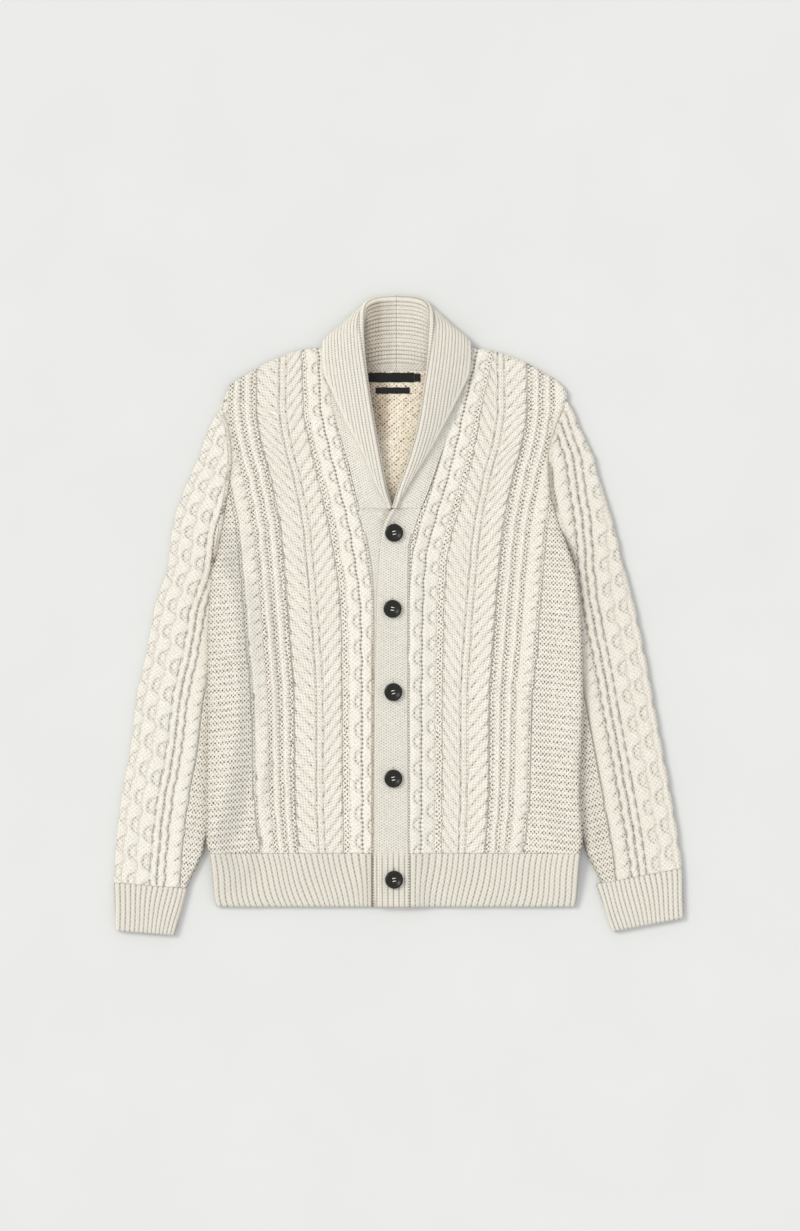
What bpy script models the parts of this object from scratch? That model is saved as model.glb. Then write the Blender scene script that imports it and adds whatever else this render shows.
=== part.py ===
"""A shawl collar cardigan in cable knit, buttoned and laid flat on its back, front up.

Sizes are in millimetres and become metres where a mesh is made. X runs to the right of the
cardigan as it lies, Y towards its neck and Z up from the table. Left and right are as seen
from above. Each panel is a wall of plain knit. Its outer points are raised into cables, and
the points under them stay plain.
"""

import math

import bmesh
import bpy
import numpy as np

MM = 0.001

# Cloth
WALL = 3.2  # plain knit of the fronts and sleeves
BACK_WALL = 3.6
BAND_WALL = 3.2
COLLAR_WALL = 3.6
SEAM = 0.4  # between one piece and the next
SLEEVE_HOLLOW = 1.0
CABLE = 3.0  # the highest cable above plain knit
COURSES = 8.0  # height of one row of the walls: half a chevron, a quarter of a wave cable's turn

# Lengths down the body
BODY_TOP, BODY_BOTTOM, HEM_BOTTOM = 333.0, -295.0, -361.0
V_POINT = 132.0
SIDES = {"left": -1, "right": 1}
AXIS = -9.0  # the line that both fronts mirror about
COLLAR_AXIS = -3.0
STRAND = 8.2  # from the furrow between two wave cables to the middle of each

# The body's side: the armhole down to the underarm, then the side seam. (y, x left, x right)
BODY_EDGE = [
    (269, -217, 208),
    (256, -218, 204),
    (232, -211, 194),
    (195, -207, 185),
    (158, -211, 187),
    (114, -218, 198),
    (87, -222, 208),
    (44, -233, 221),
    (-31, -237, 227),
    (-105, -237, 228),
    (-215, -238, 224),
    (-281, -238, 227),
    (-295, -234, 224),
    (-320, -231, 222),
    (-348, -229, 220),
    (-361, -226, 218),
]
# The shoulder line from the neck out. (distance from the collar's axis, y left, y right)
SHOULDER = [
    (60, 334, 334),
    (94, 331, 331),
    (116, 329, 328),
    (158, 314, 314),
    (184, 299, 300),
    (207, 284, 283),
    (214, 268, 269),
]
# Where the fronts join the collar and the bands. (y, x left, x right)
NECK_SEAM = [
    (340, -75, 69),
    (322, -75, 69),
    (306, -80, 74),
    (286, -86, 80),
    (261, -83, 77),
    (233, -76, 65),
    (195, -65, 51),
    (154, -55, 37),
    (133, -50, 28),
    (111, -45, 20),
    (87, -40, 14),
    (56, -35, 13),
    (19, -33, 13),
    (-105, -33, 13),
    (-361, -33, 14),
]
# Cable columns, as distances from AXIS. (y, cables left, cables right, spine, spread)
COLUMNS = [
    (333, 90, 106, 134, 1.0),
    (256, 88, 90, 136, 1.0),
    (205, 78, 78, 128, 1.0),
    (155, 64, 64, 117, 1.0),
    (106, 51, 51, 105, 1.0),
    (19, 38, 38, 97, 1.0),
    (-105, 37, 37, 90, 1.0),
    (-217, 37, 37, 89, 0.95),
    (-295, 36, 36, 86, 0.88),
]
# The free edge of the top band. (y, x)
BAND_EDGE = [
    (133, -7),
    (121, -17),
    (87, -24),
    (19, -27),
    (-105, -30),
    (-229, -31),
    (-328, -31),
    (-350, -30),
    (-361, -26),
]
# The sleeves' outer fold. (y, x left, x right)
SLEEVE_OUT = [
    (269, -217, 208),
    (255, -223, 215),
    (225, -238, 228),
    (195, -248, 242),
    (165, -262, 250),
    (106, -281, 268),
    (61, -286, 279),
    (16, -301, 291),
    (-43, -312, 304),
    (-103, -325, 315),
    (-162, -332, 326),
    (-222, -343, 337),
    (-281, -350, 347),
    (-331, -353, 352),
    (-390, -351, 353),
]
# How far a sleeve's inner fold lies under the body's side; below the hem it comes out. (y, mm)
TUCK = [
    (269, -2 * SEAM),
    (70, -2 * SEAM),
    (45, 12),
    (19, 22),
    (-31, 28),
    (-105, 30),
    (-167, 25),
    (-229, 14),
    (-266, 4),
    (-284, -2),
    (-296, -8),
    (-311, -15),
    (-331, -25),
    (-396, -44),
]
# Height of the body's underside at its sides, which lie on the sleeves. (y, mm)
SIDE_LIFT = [
    (333, 0),
    (112, 0),
    (74, 9.2),
    (-262, 9.2),
    (-292, 7.5),
    (-335, 1.5),
    (-361, 0),
]
DRAPE = 36.0  # width over which the body comes down from a sleeve to the table
SLEEVE_ENDS = {"left": (-331, -390.6, 0.08), "right": (-313, -375, 0.19)}  # cuff top, end, slope
BUTTONS = {1: (-6, 102), 2: (-8, 8), 3: (-7, -95), 4: (-7, -202), 5: (-6, -327)}
BUTTON_RADIUS, BUTTON_THICKNESS = 11.2, 4.4
LABELS = {  # (x from, x to, y from, y to)
    "main_label": (-37.5, 18.6, 288.7, 300.5),
    "size_tab": (19.0, 26.5, 289.5, 299.5),
    "care_label": (-28.8, 13.3, 274.6, 282.4),
}
LABEL_WALL = 0.8
RIB_PITCH = {"hem": 5.6, "cuff": 8.4, "band": 5.2}
RIB_HEIGHT = 1.6

# Vertical lines of a front's wall, from the band to the side. (anchor, distance, motif, step)
FRONT_LINES = [
    ("seam", 0.0, "edge", 0),
    ("cables", -STRAND, "wave", 1),
    ("cables", 0.0, "valley", 0),
    ("cables", STRAND, "wave", 0),
    ("cables", 17.0, "valley", 0),
    ("inner", 1 / 6, "chevron", 0),
    ("inner", 3 / 6, "chevron", 1),
    ("inner", 5 / 6, "chevron", 2),
    ("spine", 0.0, "spine", 0),
    ("spine", 10.2, "chevron", 2),
    ("spine", 19.5, "chevron", 1),
    ("spine", 28.8, "chevron", 0),
    ("spine", 35.6, "valley", 0),
    ("spine", 42.0, "rib", 0),
    ("spine", 49.0, "valley", 0),
    ("spine", 56.0, "rib", 0),
    ("spine", 63.2, "valley", 0),
    ("spine", 70.0, "rope", 0),
    ("spine", 78.4, "rope", 1),
    ("spine", 84.5, "valley", 0),
    ("moss", 1 / 3, "moss", 0),
    ("moss", 2 / 3, "moss", 0),
    ("edge", 0.0, "edge", 0),
]
# The same for a sleeve, as distances from its outer fold.
SLEEVE_LINES = [
    (0.0, "edge", 0),
    (4.5, "wave", 0),
    (9.0, "valley", 0),
    (17.0, "wave", 1),
    (25.0, "valley", 0),
    (34.0, "wave", 0),
    (43.0, "valley", 0),
    (48.0, "rib", 0),
    (53.0, "valley", 0),
    (58.0, "rib", 0),
    (63.0, "valley", 0),
    (68.0, "rope", 0),
    (77.0, "rope", 1),
    (82.0, "valley", 0),
    (200.0, "edge", 0),
]
# The collar's sections, from centre back to the V. The stand leans up at the back and comes
# down under the fall in front. Each row gives that lean in degrees, then the neck seam, the
# roll, the belly of the fall and its free edge, as (distance from COLLAR_AXIS, y, height).
COLLAR_BACK = [
    (90, (0.2, 302.9, 2.0), (0.2, 394.5, 4.6), (0.2, 360.0, 1.8), (0.2, 336.0, 1.8)),
    (90, (15.5, 302.9, 2.0), (17.4, 393.5, 4.8), (20.5, 360.0, 1.8), (22.9, 336.0, 1.8)),
    (80, (34.1, 302.9, 2.0), (31.6, 390.4, 6.5), (42.0, 364.0, 2.2), (45.3, 337.0, 1.8)),
    (55, (50.2, 305.4, 2.2), (39.7, 384.4, 8.4), (58.0, 371.6, 4.6), (65.1, 338.0, 2.2)),
    (25, (62.6, 311.6, 3.0), (42.8, 374.9, 10.8), (72.0, 361.0, 8.6), (81.2, 338.0, 5.0)),
]
COLLAR_FRONT = {
    "left": [
        (-15, (72.0, 322.0, 5.6), (43.4, 360.0, 17.6), (80.0, 350.0, 15.5), (91.0, 337.0, 11.5)),
        (-50, (76.0, 306.0, 5.6), (42.2, 338.9, 18.0), (70.1, 332.0, 19.5), (92.0, 322.0, 13.8)),
        (-80, (83.0, 286.0, 5.6), (39.3, 309.1, 17.4), (63.9, 304.0, 19.5), (90.0, 300.0, 13.4)),
        (-90, (80.0, 261.0, 5.6), (34.7, 275.7, 16.6), (55.2, 271.0, 18.5), (79.0, 275.0, 13.2)),
        (-90, (73.0, 233.0, 5.6), (28.5, 237.2, 15.6), (44.0, 233.5, 17.5), (62.0, 238.0, 13.2)),
        (-90, (62.0, 195.0, 5.6), (21.1, 196.3, 13.6), (30.4, 193.8, 16.6), (42.0, 202.0, 13.2)),
        (-90, (52.0, 154.0, 5.6), (13.2, 155.4, 10.6), (18.5, 155.5, 13.8), (25.0, 162.0, 12.8)),
        (-90, (47.0, 133.0, 5.6), (9.0, 134.0, 8.6), (13.0, 134.5, 12.0), (17.0, 137.0, 11.6)),
    ],
    "right": [
        (-15, (72.0, 322.0, 5.6), (43.4, 360.0, 17.6), (80.0, 350.0, 15.5), (91.0, 337.0, 11.5)),
        (-50, (76.0, 306.0, 5.6), (42.2, 338.9, 18.0), (70.1, 332.0, 19.5), (92.0, 322.0, 13.8)),
        (-80, (83.0, 286.0, 5.6), (39.3, 309.1, 17.4), (63.9, 304.0, 19.5), (90.0, 300.0, 13.4)),
        (-90, (80.0, 261.0, 5.6), (34.7, 275.7, 16.6), (55.2, 271.0, 18.5), (79.0, 275.0, 13.2)),
        (-90, (68.0, 233.0, 5.8), (28.5, 237.2, 15.8), (44.0, 233.5, 17.8), (60.0, 238.0, 13.6)),
        (-90, (54.0, 195.0, 7.0), (17.4, 196.3, 14.6), (28.0, 193.8, 17.4), (40.0, 202.0, 14.6)),
        (-90, (40.0, 154.0, 8.8), (3.1, 155.4, 13.6), (8.5, 155.5, 16.8), (15.0, 162.0, 15.8)),
        (-90, (31.0, 133.0, 9.4), (-4.0, 134.0, 12.4), (0.0, 134.5, 15.8), (4.0, 137.0, 15.2)),
    ],
}
COLLAR_BEND = 2.6  # radius of the roll at the middle of the cloth
# The stand creases beside the shoulder. (section, share of the wall's thickness there)
CREASE = [(4, 0.75), (5, 0.4), (6, 0.6)]
FALL_RIBS = 8
BEND_STEPS = 4

COLOURS = {  # linear colour, roughness
    "ecru_cotton": ((0.80, 0.77, 0.69, 1.0), 0.9),
    "ecru_rib": ((0.78, 0.75, 0.66, 1.0), 0.9),
    "horn_black": ((0.012, 0.014, 0.012, 1.0), 0.25),
    "woven_black": ((0.02, 0.02, 0.02, 1.0), 0.7),
}


def curve(table, column):
    """A smooth line through one column of a table, which never swings past its rows."""
    rows = sorted(table)
    knots = np.array([row[0] for row in rows], float)
    values = np.array([row[column] for row in rows], float)
    steps = np.diff(knots)
    slopes = np.diff(values) / steps
    tangents = np.zeros_like(values)
    tangents[0], tangents[-1] = slopes[0], slopes[-1]
    for i in range(1, len(values) - 1):
        if slopes[i - 1] * slopes[i] > 0:
            tangents[i] = 2 * slopes[i - 1] * slopes[i] / (slopes[i - 1] + slopes[i])

    def read(at):
        at = np.clip(at, knots[0], knots[-1])
        i = np.clip(np.searchsorted(knots, at) - 1, 0, len(steps) - 1)
        t = (at - knots[i]) / steps[i]
        start = (1 + 2 * t) * (1 - t) ** 2 * values[i] + t * (1 - t) ** 2 * steps[i] * tangents[i]
        end = t * t * (3 - 2 * t) * values[i + 1] + t * t * (t - 1) * steps[i] * tangents[i + 1]
        return start + end

    return read


def both_sides(table, first=1):
    """One curve for each side, from a table with a column for each."""
    return {"left": curve(table, first), "right": curve(table, first + 1)}


def straight(table, column):
    """A line with a corner at each row of a table, where a wall's sections meet another's."""
    rows = sorted(table)
    knots, values = [row[0] for row in rows], [row[column] for row in rows]
    return lambda at: np.interp(at, knots, values)


body_edge = both_sides(BODY_EDGE)
neck_seam = {"left": straight(NECK_SEAM, 1), "right": straight(NECK_SEAM, 2)}
shoulder = both_sides(SHOULDER)
cable_middle = both_sides(COLUMNS)
spine_middle = curve(COLUMNS, 3)
spread = curve(COLUMNS, 4)
band_edge = curve(BAND_EDGE, 1)
sleeve_out = both_sides(SLEEVE_OUT)
tuck = curve(TUCK, 1)
side_lift = curve(SIDE_LIFT, 1)


def smooth_step(t):
    t = np.clip(t, 0.0, 1.0)
    return t * t * (3 - 2 * t)


def ground(x, y, width=DRAPE):
    """Height of the body's underside: the table, or the sleeve that a side lies on."""
    lifts = []
    for side, sign in SIDES.items():
        inside = sign * (body_edge[side](y) - x)
        cover = 1 - smooth_step((inside - np.maximum(tuck(y), 0) - 5) / width)
        lifts.append(cover * side_lift(y))
    return np.maximum(*lifts)


def slack(x, y):
    """Extra room between two layers of the body where they bend over a sleeve."""
    return 2.0 * smooth_step(ground(x, y, DRAPE + 26) / 2.0)


def front_floor(x, y):
    """Height of a front's underside. The right front rises to the band that laps the other."""
    near_band = 1 - smooth_step((x - neck_seam["right"](y) - 2) / 30)
    lap = np.where(x > 0, near_band * smooth_step((V_POINT + 60 - y) / 90), 0.0)
    return ground(x, y) + slack(x, y) + BACK_WALL + SEAM + lap * (BAND_WALL + SEAM)


def wall(name, top, under, rows_under, lines_under, rising, material):
    """A closed wall between a fine outer grid and a plain inner one.

    top and under are [row][line] grids of points. The inner grid keeps only the given rows
    and lines. Between lines i and i + 1 the outer grid's triangles rise along rising[i].
    Points that the outline has pulled together are merged.
    """
    mesh = bmesh.new()
    outer = [[mesh.verts.new(np.asarray(p) * MM) for p in row] for row in top]
    inner = {
        (j, i): mesh.verts.new(np.asarray(under[j][i]) * MM) for j in rows_under for i in lines_under
    }
    for j in range(len(top) - 1):
        for i in range(len(top[0]) - 1):
            a, b = outer[j][i], outer[j][i + 1]
            c, d = outer[j + 1][i + 1], outer[j + 1][i]
            halves = ((a, b, c), (a, c, d)) if rising[i] else ((a, b, d), (b, c, d))
            for corners in halves:
                mesh.faces.new(corners)
    for j, above in zip(rows_under, rows_under[1:]):
        for i, beside in zip(lines_under, lines_under[1:]):
            mesh.faces.new((inner[j, i], inner[above, i], inner[above, beside], inner[j, beside]))
    for j in (rows_under[0], rows_under[-1]):
        for i, beside in zip(lines_under, lines_under[1:]):
            along = [outer[j][k] for k in range(beside, i - 1, -1)]
            mesh.faces.new([inner[j, i], inner[j, beside], *along])
    for i in (lines_under[0], lines_under[-1]):
        for j, above in zip(rows_under, rows_under[1:]):
            along = [outer[k][i] for k in range(above, j - 1, -1)]
            mesh.faces.new([inner[j, i], inner[above, i], *along])
    return finish(name, mesh, material)


def finish(name, mesh, material):
    """Merges doubled points, turns the faces out and makes the object."""
    bmesh.ops.remove_doubles(mesh, verts=mesh.verts, dist=0.02 * MM)
    bmesh.ops.dissolve_degenerate(mesh, edges=mesh.edges, dist=0.02 * MM)
    bmesh.ops.triangulate(mesh, faces=[face for face in mesh.faces if len(face.verts) > 3])
    bmesh.ops.recalc_face_normals(mesh, faces=mesh.faces)
    data = bpy.data.meshes.new(name)
    mesh.to_mesh(data)
    mesh.free()
    return add_object(name, data, material)


def add_object(name, data, material, collection=None):
    made = bpy.data.objects.new(name, data)
    made.data.materials.append(material)
    (collection or parts).objects.link(made)
    return made


def motif_height(motif, step, row):
    """How far a cable stands above plain knit at one line and row of a wall."""
    if motif == "wave":  # a strand swings out and back, its neighbour half a turn later
        return CABLE * (0.85 + 0.15 * math.cos(2 * math.pi * (row / 4 + step / 2)))
    if motif in ("chevron", "rope"):
        return CABLE * (0.9 if (row + step) % 2 == 0 else 0.35)
    if motif == "rib":
        return CABLE * (0.8 if row % 2 == 0 else 0.65)
    return {"edge": 0.2, "valley": 0.0, "spine": 0.1, "moss": 0.6}[motif]


def front_distance(side, line, y):
    """How far a front's line lies from AXIS at height y."""
    anchor, distance, _, _ = line
    sign = SIDES[side]
    seam = sign * (neck_seam[side](y) - AXIS) + SEAM / 2
    edge = sign * (body_edge[side](y) - AXIS)
    cables, spine, wide = cable_middle[side](y), spine_middle(y), spread(y)
    if anchor == "seam":
        found = seam
    elif anchor == "cables":
        found = cables + distance
    elif anchor == "inner":
        found = (cables + 20.5) * (1 - distance) + (spine - 5.6) * distance
    elif anchor == "spine":
        found = spine + distance * wide
    elif anchor == "moss":
        found = max(spine + 84.5 * wide, edge - 60) * (1 - distance) + edge * distance
    else:
        found = edge
    return min(max(found, seam), edge)


def meet_shoulder(side, place, y):
    """The point of a line at height y, or where it meets the shoulder if that is lower."""
    x = place(y)
    top = float(shoulder[side](abs(x - COLLAR_AXIS)))
    if y <= top:
        return x, y
    for _ in range(40):
        y = 0.5 * y + 0.5 * float(shoulder[side](abs(place(y) - COLLAR_AXIS)))
    return place(y), y


def body_rows(top=BODY_TOP):
    """Heights of the walls' rows, in threes so that the plain inside can take every third."""
    count = 3 * round((top - BODY_BOTTOM) / COURSES / 3)
    return [BODY_BOTTOM + (top - BODY_BOTTOM) * j / count for j in range(count + 1)]


def front(side):
    sign = SIDES[side]
    rows = body_rows()
    lines = FRONT_LINES
    top, under = [], []
    for j, y in enumerate(rows):
        top_row, under_row = [], []
        for line in lines:
            x, at = meet_shoulder(side, lambda v: AXIS + sign * float(front_distance(side, line, v)), y)
            floor = float(front_floor(x, at))
            clipped = at < y or y == rows[0]
            held = line[2] != "edge" and abs(x - float(body_edge[side](at))) < 0.5
            raised = 0.2 if clipped or held else motif_height(line[2], line[3], j)
            top_row.append((x, at, floor + WALL + raised))
            under_row.append((x, at, floor))
        top.append(top_row)
        under.append(under_row)
    rising = [line[0] != "inner" for line in lines]
    lines_under = [0, 4, 8, 12, 14, 16, 19, 20, 21, len(lines) - 1]
    wall(f"front_{side}", top, under, range(0, len(rows), 3), lines_under, rising, cotton)


def back():
    """One plain panel under both fronts, a little inside their outline."""
    rows = body_rows()[::3]
    left, right = body_edge["left"], body_edge["right"]
    inset = 1.0
    steps = (0, 12, 26, 36, 46, 56, 72)
    top, under = [], []
    for y in rows:
        xs = [float(left(y)) + inset + s for s in steps] + [-130, -105, -84, -60, -32, -3]
        xs += [26, 54, 78, 99, 124] + [float(right(y)) - inset - s for s in reversed(steps)]
        top_row, under_row = [], []
        for x in xs:
            at = min(y, back_top(x) - SEAM)
            low = float(ground(x, at))
            top_row.append((x, at, low + BACK_WALL))
            under_row.append((x, at, low))
        top.append(top_row)
        under.append(under_row)
    everything = range(len(top[0]))
    wall("back", top, under, range(len(rows)), everything, [True] * len(everything), cotton)


def back_top(x):
    """The back's upper edge: its neckline between the shoulders."""
    side = "left" if x < COLLAR_AXIS else "right"
    away = abs(x - COLLAR_AXIS)
    seam = [section[1] for section in COLLAR_BACK + COLLAR_FRONT[side][:1]]
    neck = float(np.interp(away, [p[0] for p in seam], [p[1] for p in seam])) - 8 * SEAM
    return min(neck + max(0.0, away - seam[-1][0]) * 3, float(shoulder[side](max(away, 60))) - 1)


def hem(side):
    """The front hem's ribs, from the side seam to the band."""
    rows = [HEM_BOTTOM, -330.0, BODY_BOTTOM - SEAM]
    sign = SIDES[side]
    width = abs(float(body_edge[side](-330)) - float(neck_seam[side](-330)))
    count = 2 * round(width / RIB_PITCH["hem"])
    top, under = [], []
    for y in rows:
        a, b = float(neck_seam[side](y)) + sign * SEAM / 2, float(body_edge[side](y))
        top_row, under_row = [], []
        for i in range(count + 1):
            x = a + (b - a) * i / count
            floor = float(front_floor(x, y))
            raised = RIB_HEIGHT if i % 2 else 0.2
            top_row.append((x, y, floor + WALL + raised))
            under_row.append((x, y, floor))
        top.append(top_row)
        under.append(under_row)
    under_lines = sorted({*range(0, count, 8), count - 6, count - 3, count})
    wall(f"hem_{side}", top, under, range(3), under_lines, [True] * count, rib)


def back_hem():
    rows = [HEM_BOTTOM, -346.0, -330.0, -312.0, BODY_BOTTOM - SEAM]
    top, under = [], []
    for y in rows:
        left, right = float(body_edge["left"](y)) + 1, float(body_edge["right"](y)) - 1
        xs = [left + s for s in (0, 12, 24, 36, 50)] + [-100, 0, 100]
        xs += [right - s for s in (50, 36, 24, 12, 0)]
        lows = [float(ground(x, y)) for x in xs]
        top.append([(x, y, low + BACK_WALL) for x, low in zip(xs, lows)])
        under.append([(x, y, low) for x, low in zip(xs, lows)])
    lines = range(len(top[0]))
    wall("back_hem", top, under, range(len(rows)), lines, [True] * len(lines), rib)


def sleeve_in(side, y):
    return float(body_edge[side](max(y, BODY_BOTTOM))) - SIDES[side] * float(tuck(y))


def sleeve_row(side, start, distance):
    """A point of a sleeve: start is the row's height at the outer fold."""
    sign, slope = SIDES[side], SLEEVE_ENDS[side][2]
    out = float(sleeve_out[side](start))
    x, y = out, start
    share = smooth_step((269 - start) / 120)
    for _ in range(30):
        room = sign * (out - sleeve_in(side, y))
        reach = min(distance, room)
        x, y = out - sign * reach, start - float(share) * slope * reach
    return x, y, distance >= room - 0.01


def sleeve(side):
    """A flattened tube. A thin cutter opens it from the armhole to the cuff."""
    cuff_top = SLEEVE_ENDS[side][0]
    count = 3 * round((266 - cuff_top) / COURSES / 3)
    starts = [cuff_top + (266 - cuff_top) * j / count for j in range(count + 1)]
    depth = 2 * WALL + SLEEVE_HOLLOW
    top, under = [], []
    for j, start in enumerate(starts):
        top_row, under_row = [], []
        for distance, motif, step in SLEEVE_LINES:
            x, y, at_end = sleeve_row(side, start, distance)
            raised = motif_height(motif, step, j)
            hidden = SIDES[side] * (float(body_edge[side](y)) - x) > -9 and y < 110
            if at_end or hidden or j == 0:
                raised = 0.3
            fold = motif == "edge" and distance == 0.0 or at_end and y < 75
            top_row.append((x, y, depth + raised - (2.2 if fold else 0.0)))
            under_row.append((x, y, 2.0 if fold else 0.0))
        top.append(top_row)
        under.append(under_row)
    rising = [motif != "rope" or side == "right" for _, motif, _ in SLEEVE_LINES]
    lines_under = [0, 1, 6, 10, 13, len(SLEEVE_LINES) - 1]
    made = wall(f"sleeve_{side}", top, under, range(0, count + 1, 3), lines_under, rising, cotton)
    open_tube(made, side, starts)


def open_tube(made, side, starts):
    """Cuts the hollow between a sleeve's two layers."""
    sign = SIDES[side]
    low, high = WALL, WALL + SLEEVE_HOLLOW
    picked = [starts[0] - 12, *starts[6::6]]
    top, under = [], []
    for start in picked:
        if start > 250:
            continue
        out = float(sleeve_out[side](max(start, starts[0])))
        outer_x = out - sign * 4.5
        inner_y = start - 8
        if inner_y > 70:
            inner_x = float(body_edge[side](inner_y)) - sign * 10
        else:
            inner_x = sleeve_in(side, max(inner_y, starts[0])) + sign * 5
        middle = (outer_x + inner_x) / 2
        top.append([(x, start, high) for x in (outer_x, middle, inner_x)])
        under.append([(x, start, low) for x in (outer_x, middle, inner_x)])
    cutter = wall(f"sleeve_{side}_hollow", top, under, range(len(top)), range(3), [True] * 3, cotton)
    parts.objects.unlink(cutter)
    cutters.objects.link(cutter)
    cutter.hide_render = True
    cutter.display_type = "WIRE"
    cut = made.modifiers.new("Hollow", "BOOLEAN")
    cut.operation = "DIFFERENCE"
    cut.solver = "EXACT"
    cut.object = cutter


def cuff(side):
    """The cuff's two ribbed layers, as one flat band with its own slot through it."""
    sign = SIDES[side]
    cuff_top, cuff_end, slope = SLEEVE_ENDS[side]
    outs = [float(sleeve_out[side](y)) for y in (cuff_end, cuff_top - SEAM)]
    ins = [sleeve_in(side, cuff_end - 8), sleeve_in(side, cuff_top - 8)]
    ribs = round(abs(outs[1] - ins[1]) / RIB_PITCH["cuff"])
    depth = 2 * WALL + SLEEVE_HOLLOW
    top, under = [], []
    for y, out, inner in zip((cuff_end, cuff_top - SEAM), outs, ins):
        top_row, under_row = [], []
        for i in range(2 * ribs + 1):
            x = out + (inner - out) * i / (2 * ribs)
            at = y - slope * sign * (out - x)
            fold = i in (0, 2 * ribs)
            raised = RIB_HEIGHT if i % 2 else 0.2
            top_row.append((x, at, depth + raised - (2.2 if fold else 0.0)))
            under_row.append((x, at, 2.0 if fold else 0.0))
        top.append(top_row)
        under.append(under_row)
    lines = [0, 1, ribs, 2 * ribs - 1, 2 * ribs]
    made = wall(f"cuff_{side}", top, under, range(2), lines, [True] * (2 * ribs), rib)
    slot_ends = []
    for y, out, inner in zip((cuff_end - 12, cuff_top + 12), outs, ins):
        spans = (out - sign * 4.5, inner + sign * 4.5)
        slot_ends.append([(x, y - slope * sign * (out - x)) for x in spans])
    low, high = WALL, WALL + SLEEVE_HOLLOW
    top = [[(x, y, high) for x, y in row] for row in slot_ends]
    under = [[(x, y, low) for x, y in row] for row in slot_ends]
    cutter = wall(f"cuff_{side}_hollow", top, under, range(2), range(2), [True], rib)
    parts.objects.unlink(cutter)
    cutters.objects.link(cutter)
    cutter.hide_render = True
    cutter.display_type = "WIRE"
    cut = made.modifiers.new("Hollow", "BOOLEAN")
    cut.operation = "DIFFERENCE"
    cut.solver = "EXACT"
    cut.object = cutter


def band(side):
    """The under band on the left front, and the top band that laps it on the right."""
    over = side == "right"
    rows = [HEM_BOTTOM, -350.0, -328.0, -229.0, -105.0, 19.0, 56.0, 87.0, 99.0, 111.0, 121.0]
    rows.append(V_POINT - SEAM)
    count = 18 if over else 6
    top, under = [], []
    for y in rows:
        seam_x = float(neck_seam[side](y)) - SIDES[side] * SEAM / 2
        free_x = float(band_edge(y)) if over else 5.0 - 14.0 * float(smooth_step((y - 20) / 112))
        top_row, under_row = [], []
        for i in range(count + 1):
            x = free_x + (seam_x - free_x) * i / count
            base = BACK_WALL + SEAM
            if over:
                base += BAND_WALL + SEAM + 0.4
            raised = 0.7 if i % 2 else 0.0
            top_row.append((x, y, base + BAND_WALL + (raised if over else 0.0)))
            under_row.append((x, y, base))
        top.append(top_row)
        under.append(under_row)
    lines = range(0, count + 1, 3)
    wall(f"band_{side}", top, under, range(len(rows)), lines, [True] * count, rib)


def grid_normals(points):
    """At each point of a grid, the mean of the normals of the cells beside it."""
    cells = np.cross(points[1:, 1:] - points[:-1, :-1], points[:-1, 1:] - points[1:, :-1])
    cells /= np.linalg.norm(cells, axis=2)[:, :, None]
    cells = np.pad(cells, ((1, 1), (1, 1), (0, 0)), mode="edge")
    found = cells[1:, 1:] + cells[:-1, 1:] + cells[1:, :-1] + cells[:-1, :-1]
    return found / np.linalg.norm(found, axis=2)[:, :, None]


def collar(side):
    """One half of the collar: a cloth that stands up from the neck seam, rolls and falls.

    The face that shows is inside the stand and on top of the fall, where its ribs are.
    """
    sign = SIDES[side]
    sections = COLLAR_BACK + COLLAR_FRONT[side]
    lean = np.radians([section[0] for section in sections])
    place = np.array([[(sign * d, y, z) for d, y, z in section[1:]] for section in sections])
    seams, rolls, bellies, edges = (place[:, k] for k in range(4))
    seams[len(COLLAR_BACK) :, 0] -= sign * (COLLAR_WALL / 2 + SEAM)
    along = np.gradient(rolls, axis=0)
    along[:, 2] = 0
    along[0] = (sign, 0, 0)
    along /= np.linalg.norm(along, axis=1)[:, None]
    level = np.cross(along, (0, 0, 1)) * -sign
    inward = np.cos(lean)[:, None] * level * -1 + np.sin(lean)[:, None] * np.array((0, 0, 1))
    across = np.cross(along, inward) * sign
    bend = COLLAR_BEND
    fall_steps = 2 * FALL_RIBS
    middle = []
    for s in range(len(sections)):
        centre = rolls[s] + across[s] * bend
        steepness = np.interp(lean[s], (-1.5, -0.3, 1.5), (1.5, 1.5, 5.0))
        roll_foot = centre + inward[s] * bend
        line = []
        for t in (0.0, 0.07, 0.18, 0.4, 0.7):
            point = seams[s] * (1 - t) + roll_foot * t
            point[2] = seams[s][2] + (roll_foot - seams[s])[2] * (1 - (1 - t) ** steepness)
            line.append(point)
        for k in range(BEND_STEPS + 1):
            angle = math.pi * k / BEND_STEPS
            line.append(centre + bend * (inward[s] * math.cos(angle) - across[s] * math.sin(angle)))
        start = centre - inward[s] * bend
        for k in range(1, fall_steps + 1):
            t = k / fall_steps
            belly = 2 * t * (1 - t)
            line.append(start * (1 - t) ** 2 + bellies[s] * belly + edges[s] * t * t)
        middle.append(line)
    middle = np.array(middle)
    normal = grid_normals(middle)
    shown = normal * (1 if np.sum(normal[:, 0] * inward) > 0 else -1)
    middle[:, :, 0] += COLLAR_AXIS
    half = COLLAR_WALL / 2
    steps = middle.shape[1]
    ribbed = np.zeros(steps)
    ribbed[-fall_steps + 1 :: 2] = -1.2
    first_bend = 5
    share = np.ones((len(sections), steps))
    for section, thin in CREASE:
        share[section, :first_bend] = thin
    top = middle + shown * (half * share + ribbed)[:, :, None]
    under = middle - shown * (half * share)[:, :, None]
    lines = [0, 1, 2, 3, 4, *range(first_bend, first_bend + BEND_STEPS + 1)]
    lines += [first_bend + BEND_STEPS + k for k in range(4, fall_steps + 1, 4)]
    return wall(f"collar_{side}", top, under, range(len(sections)), lines, [True] * steps, rib)


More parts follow.
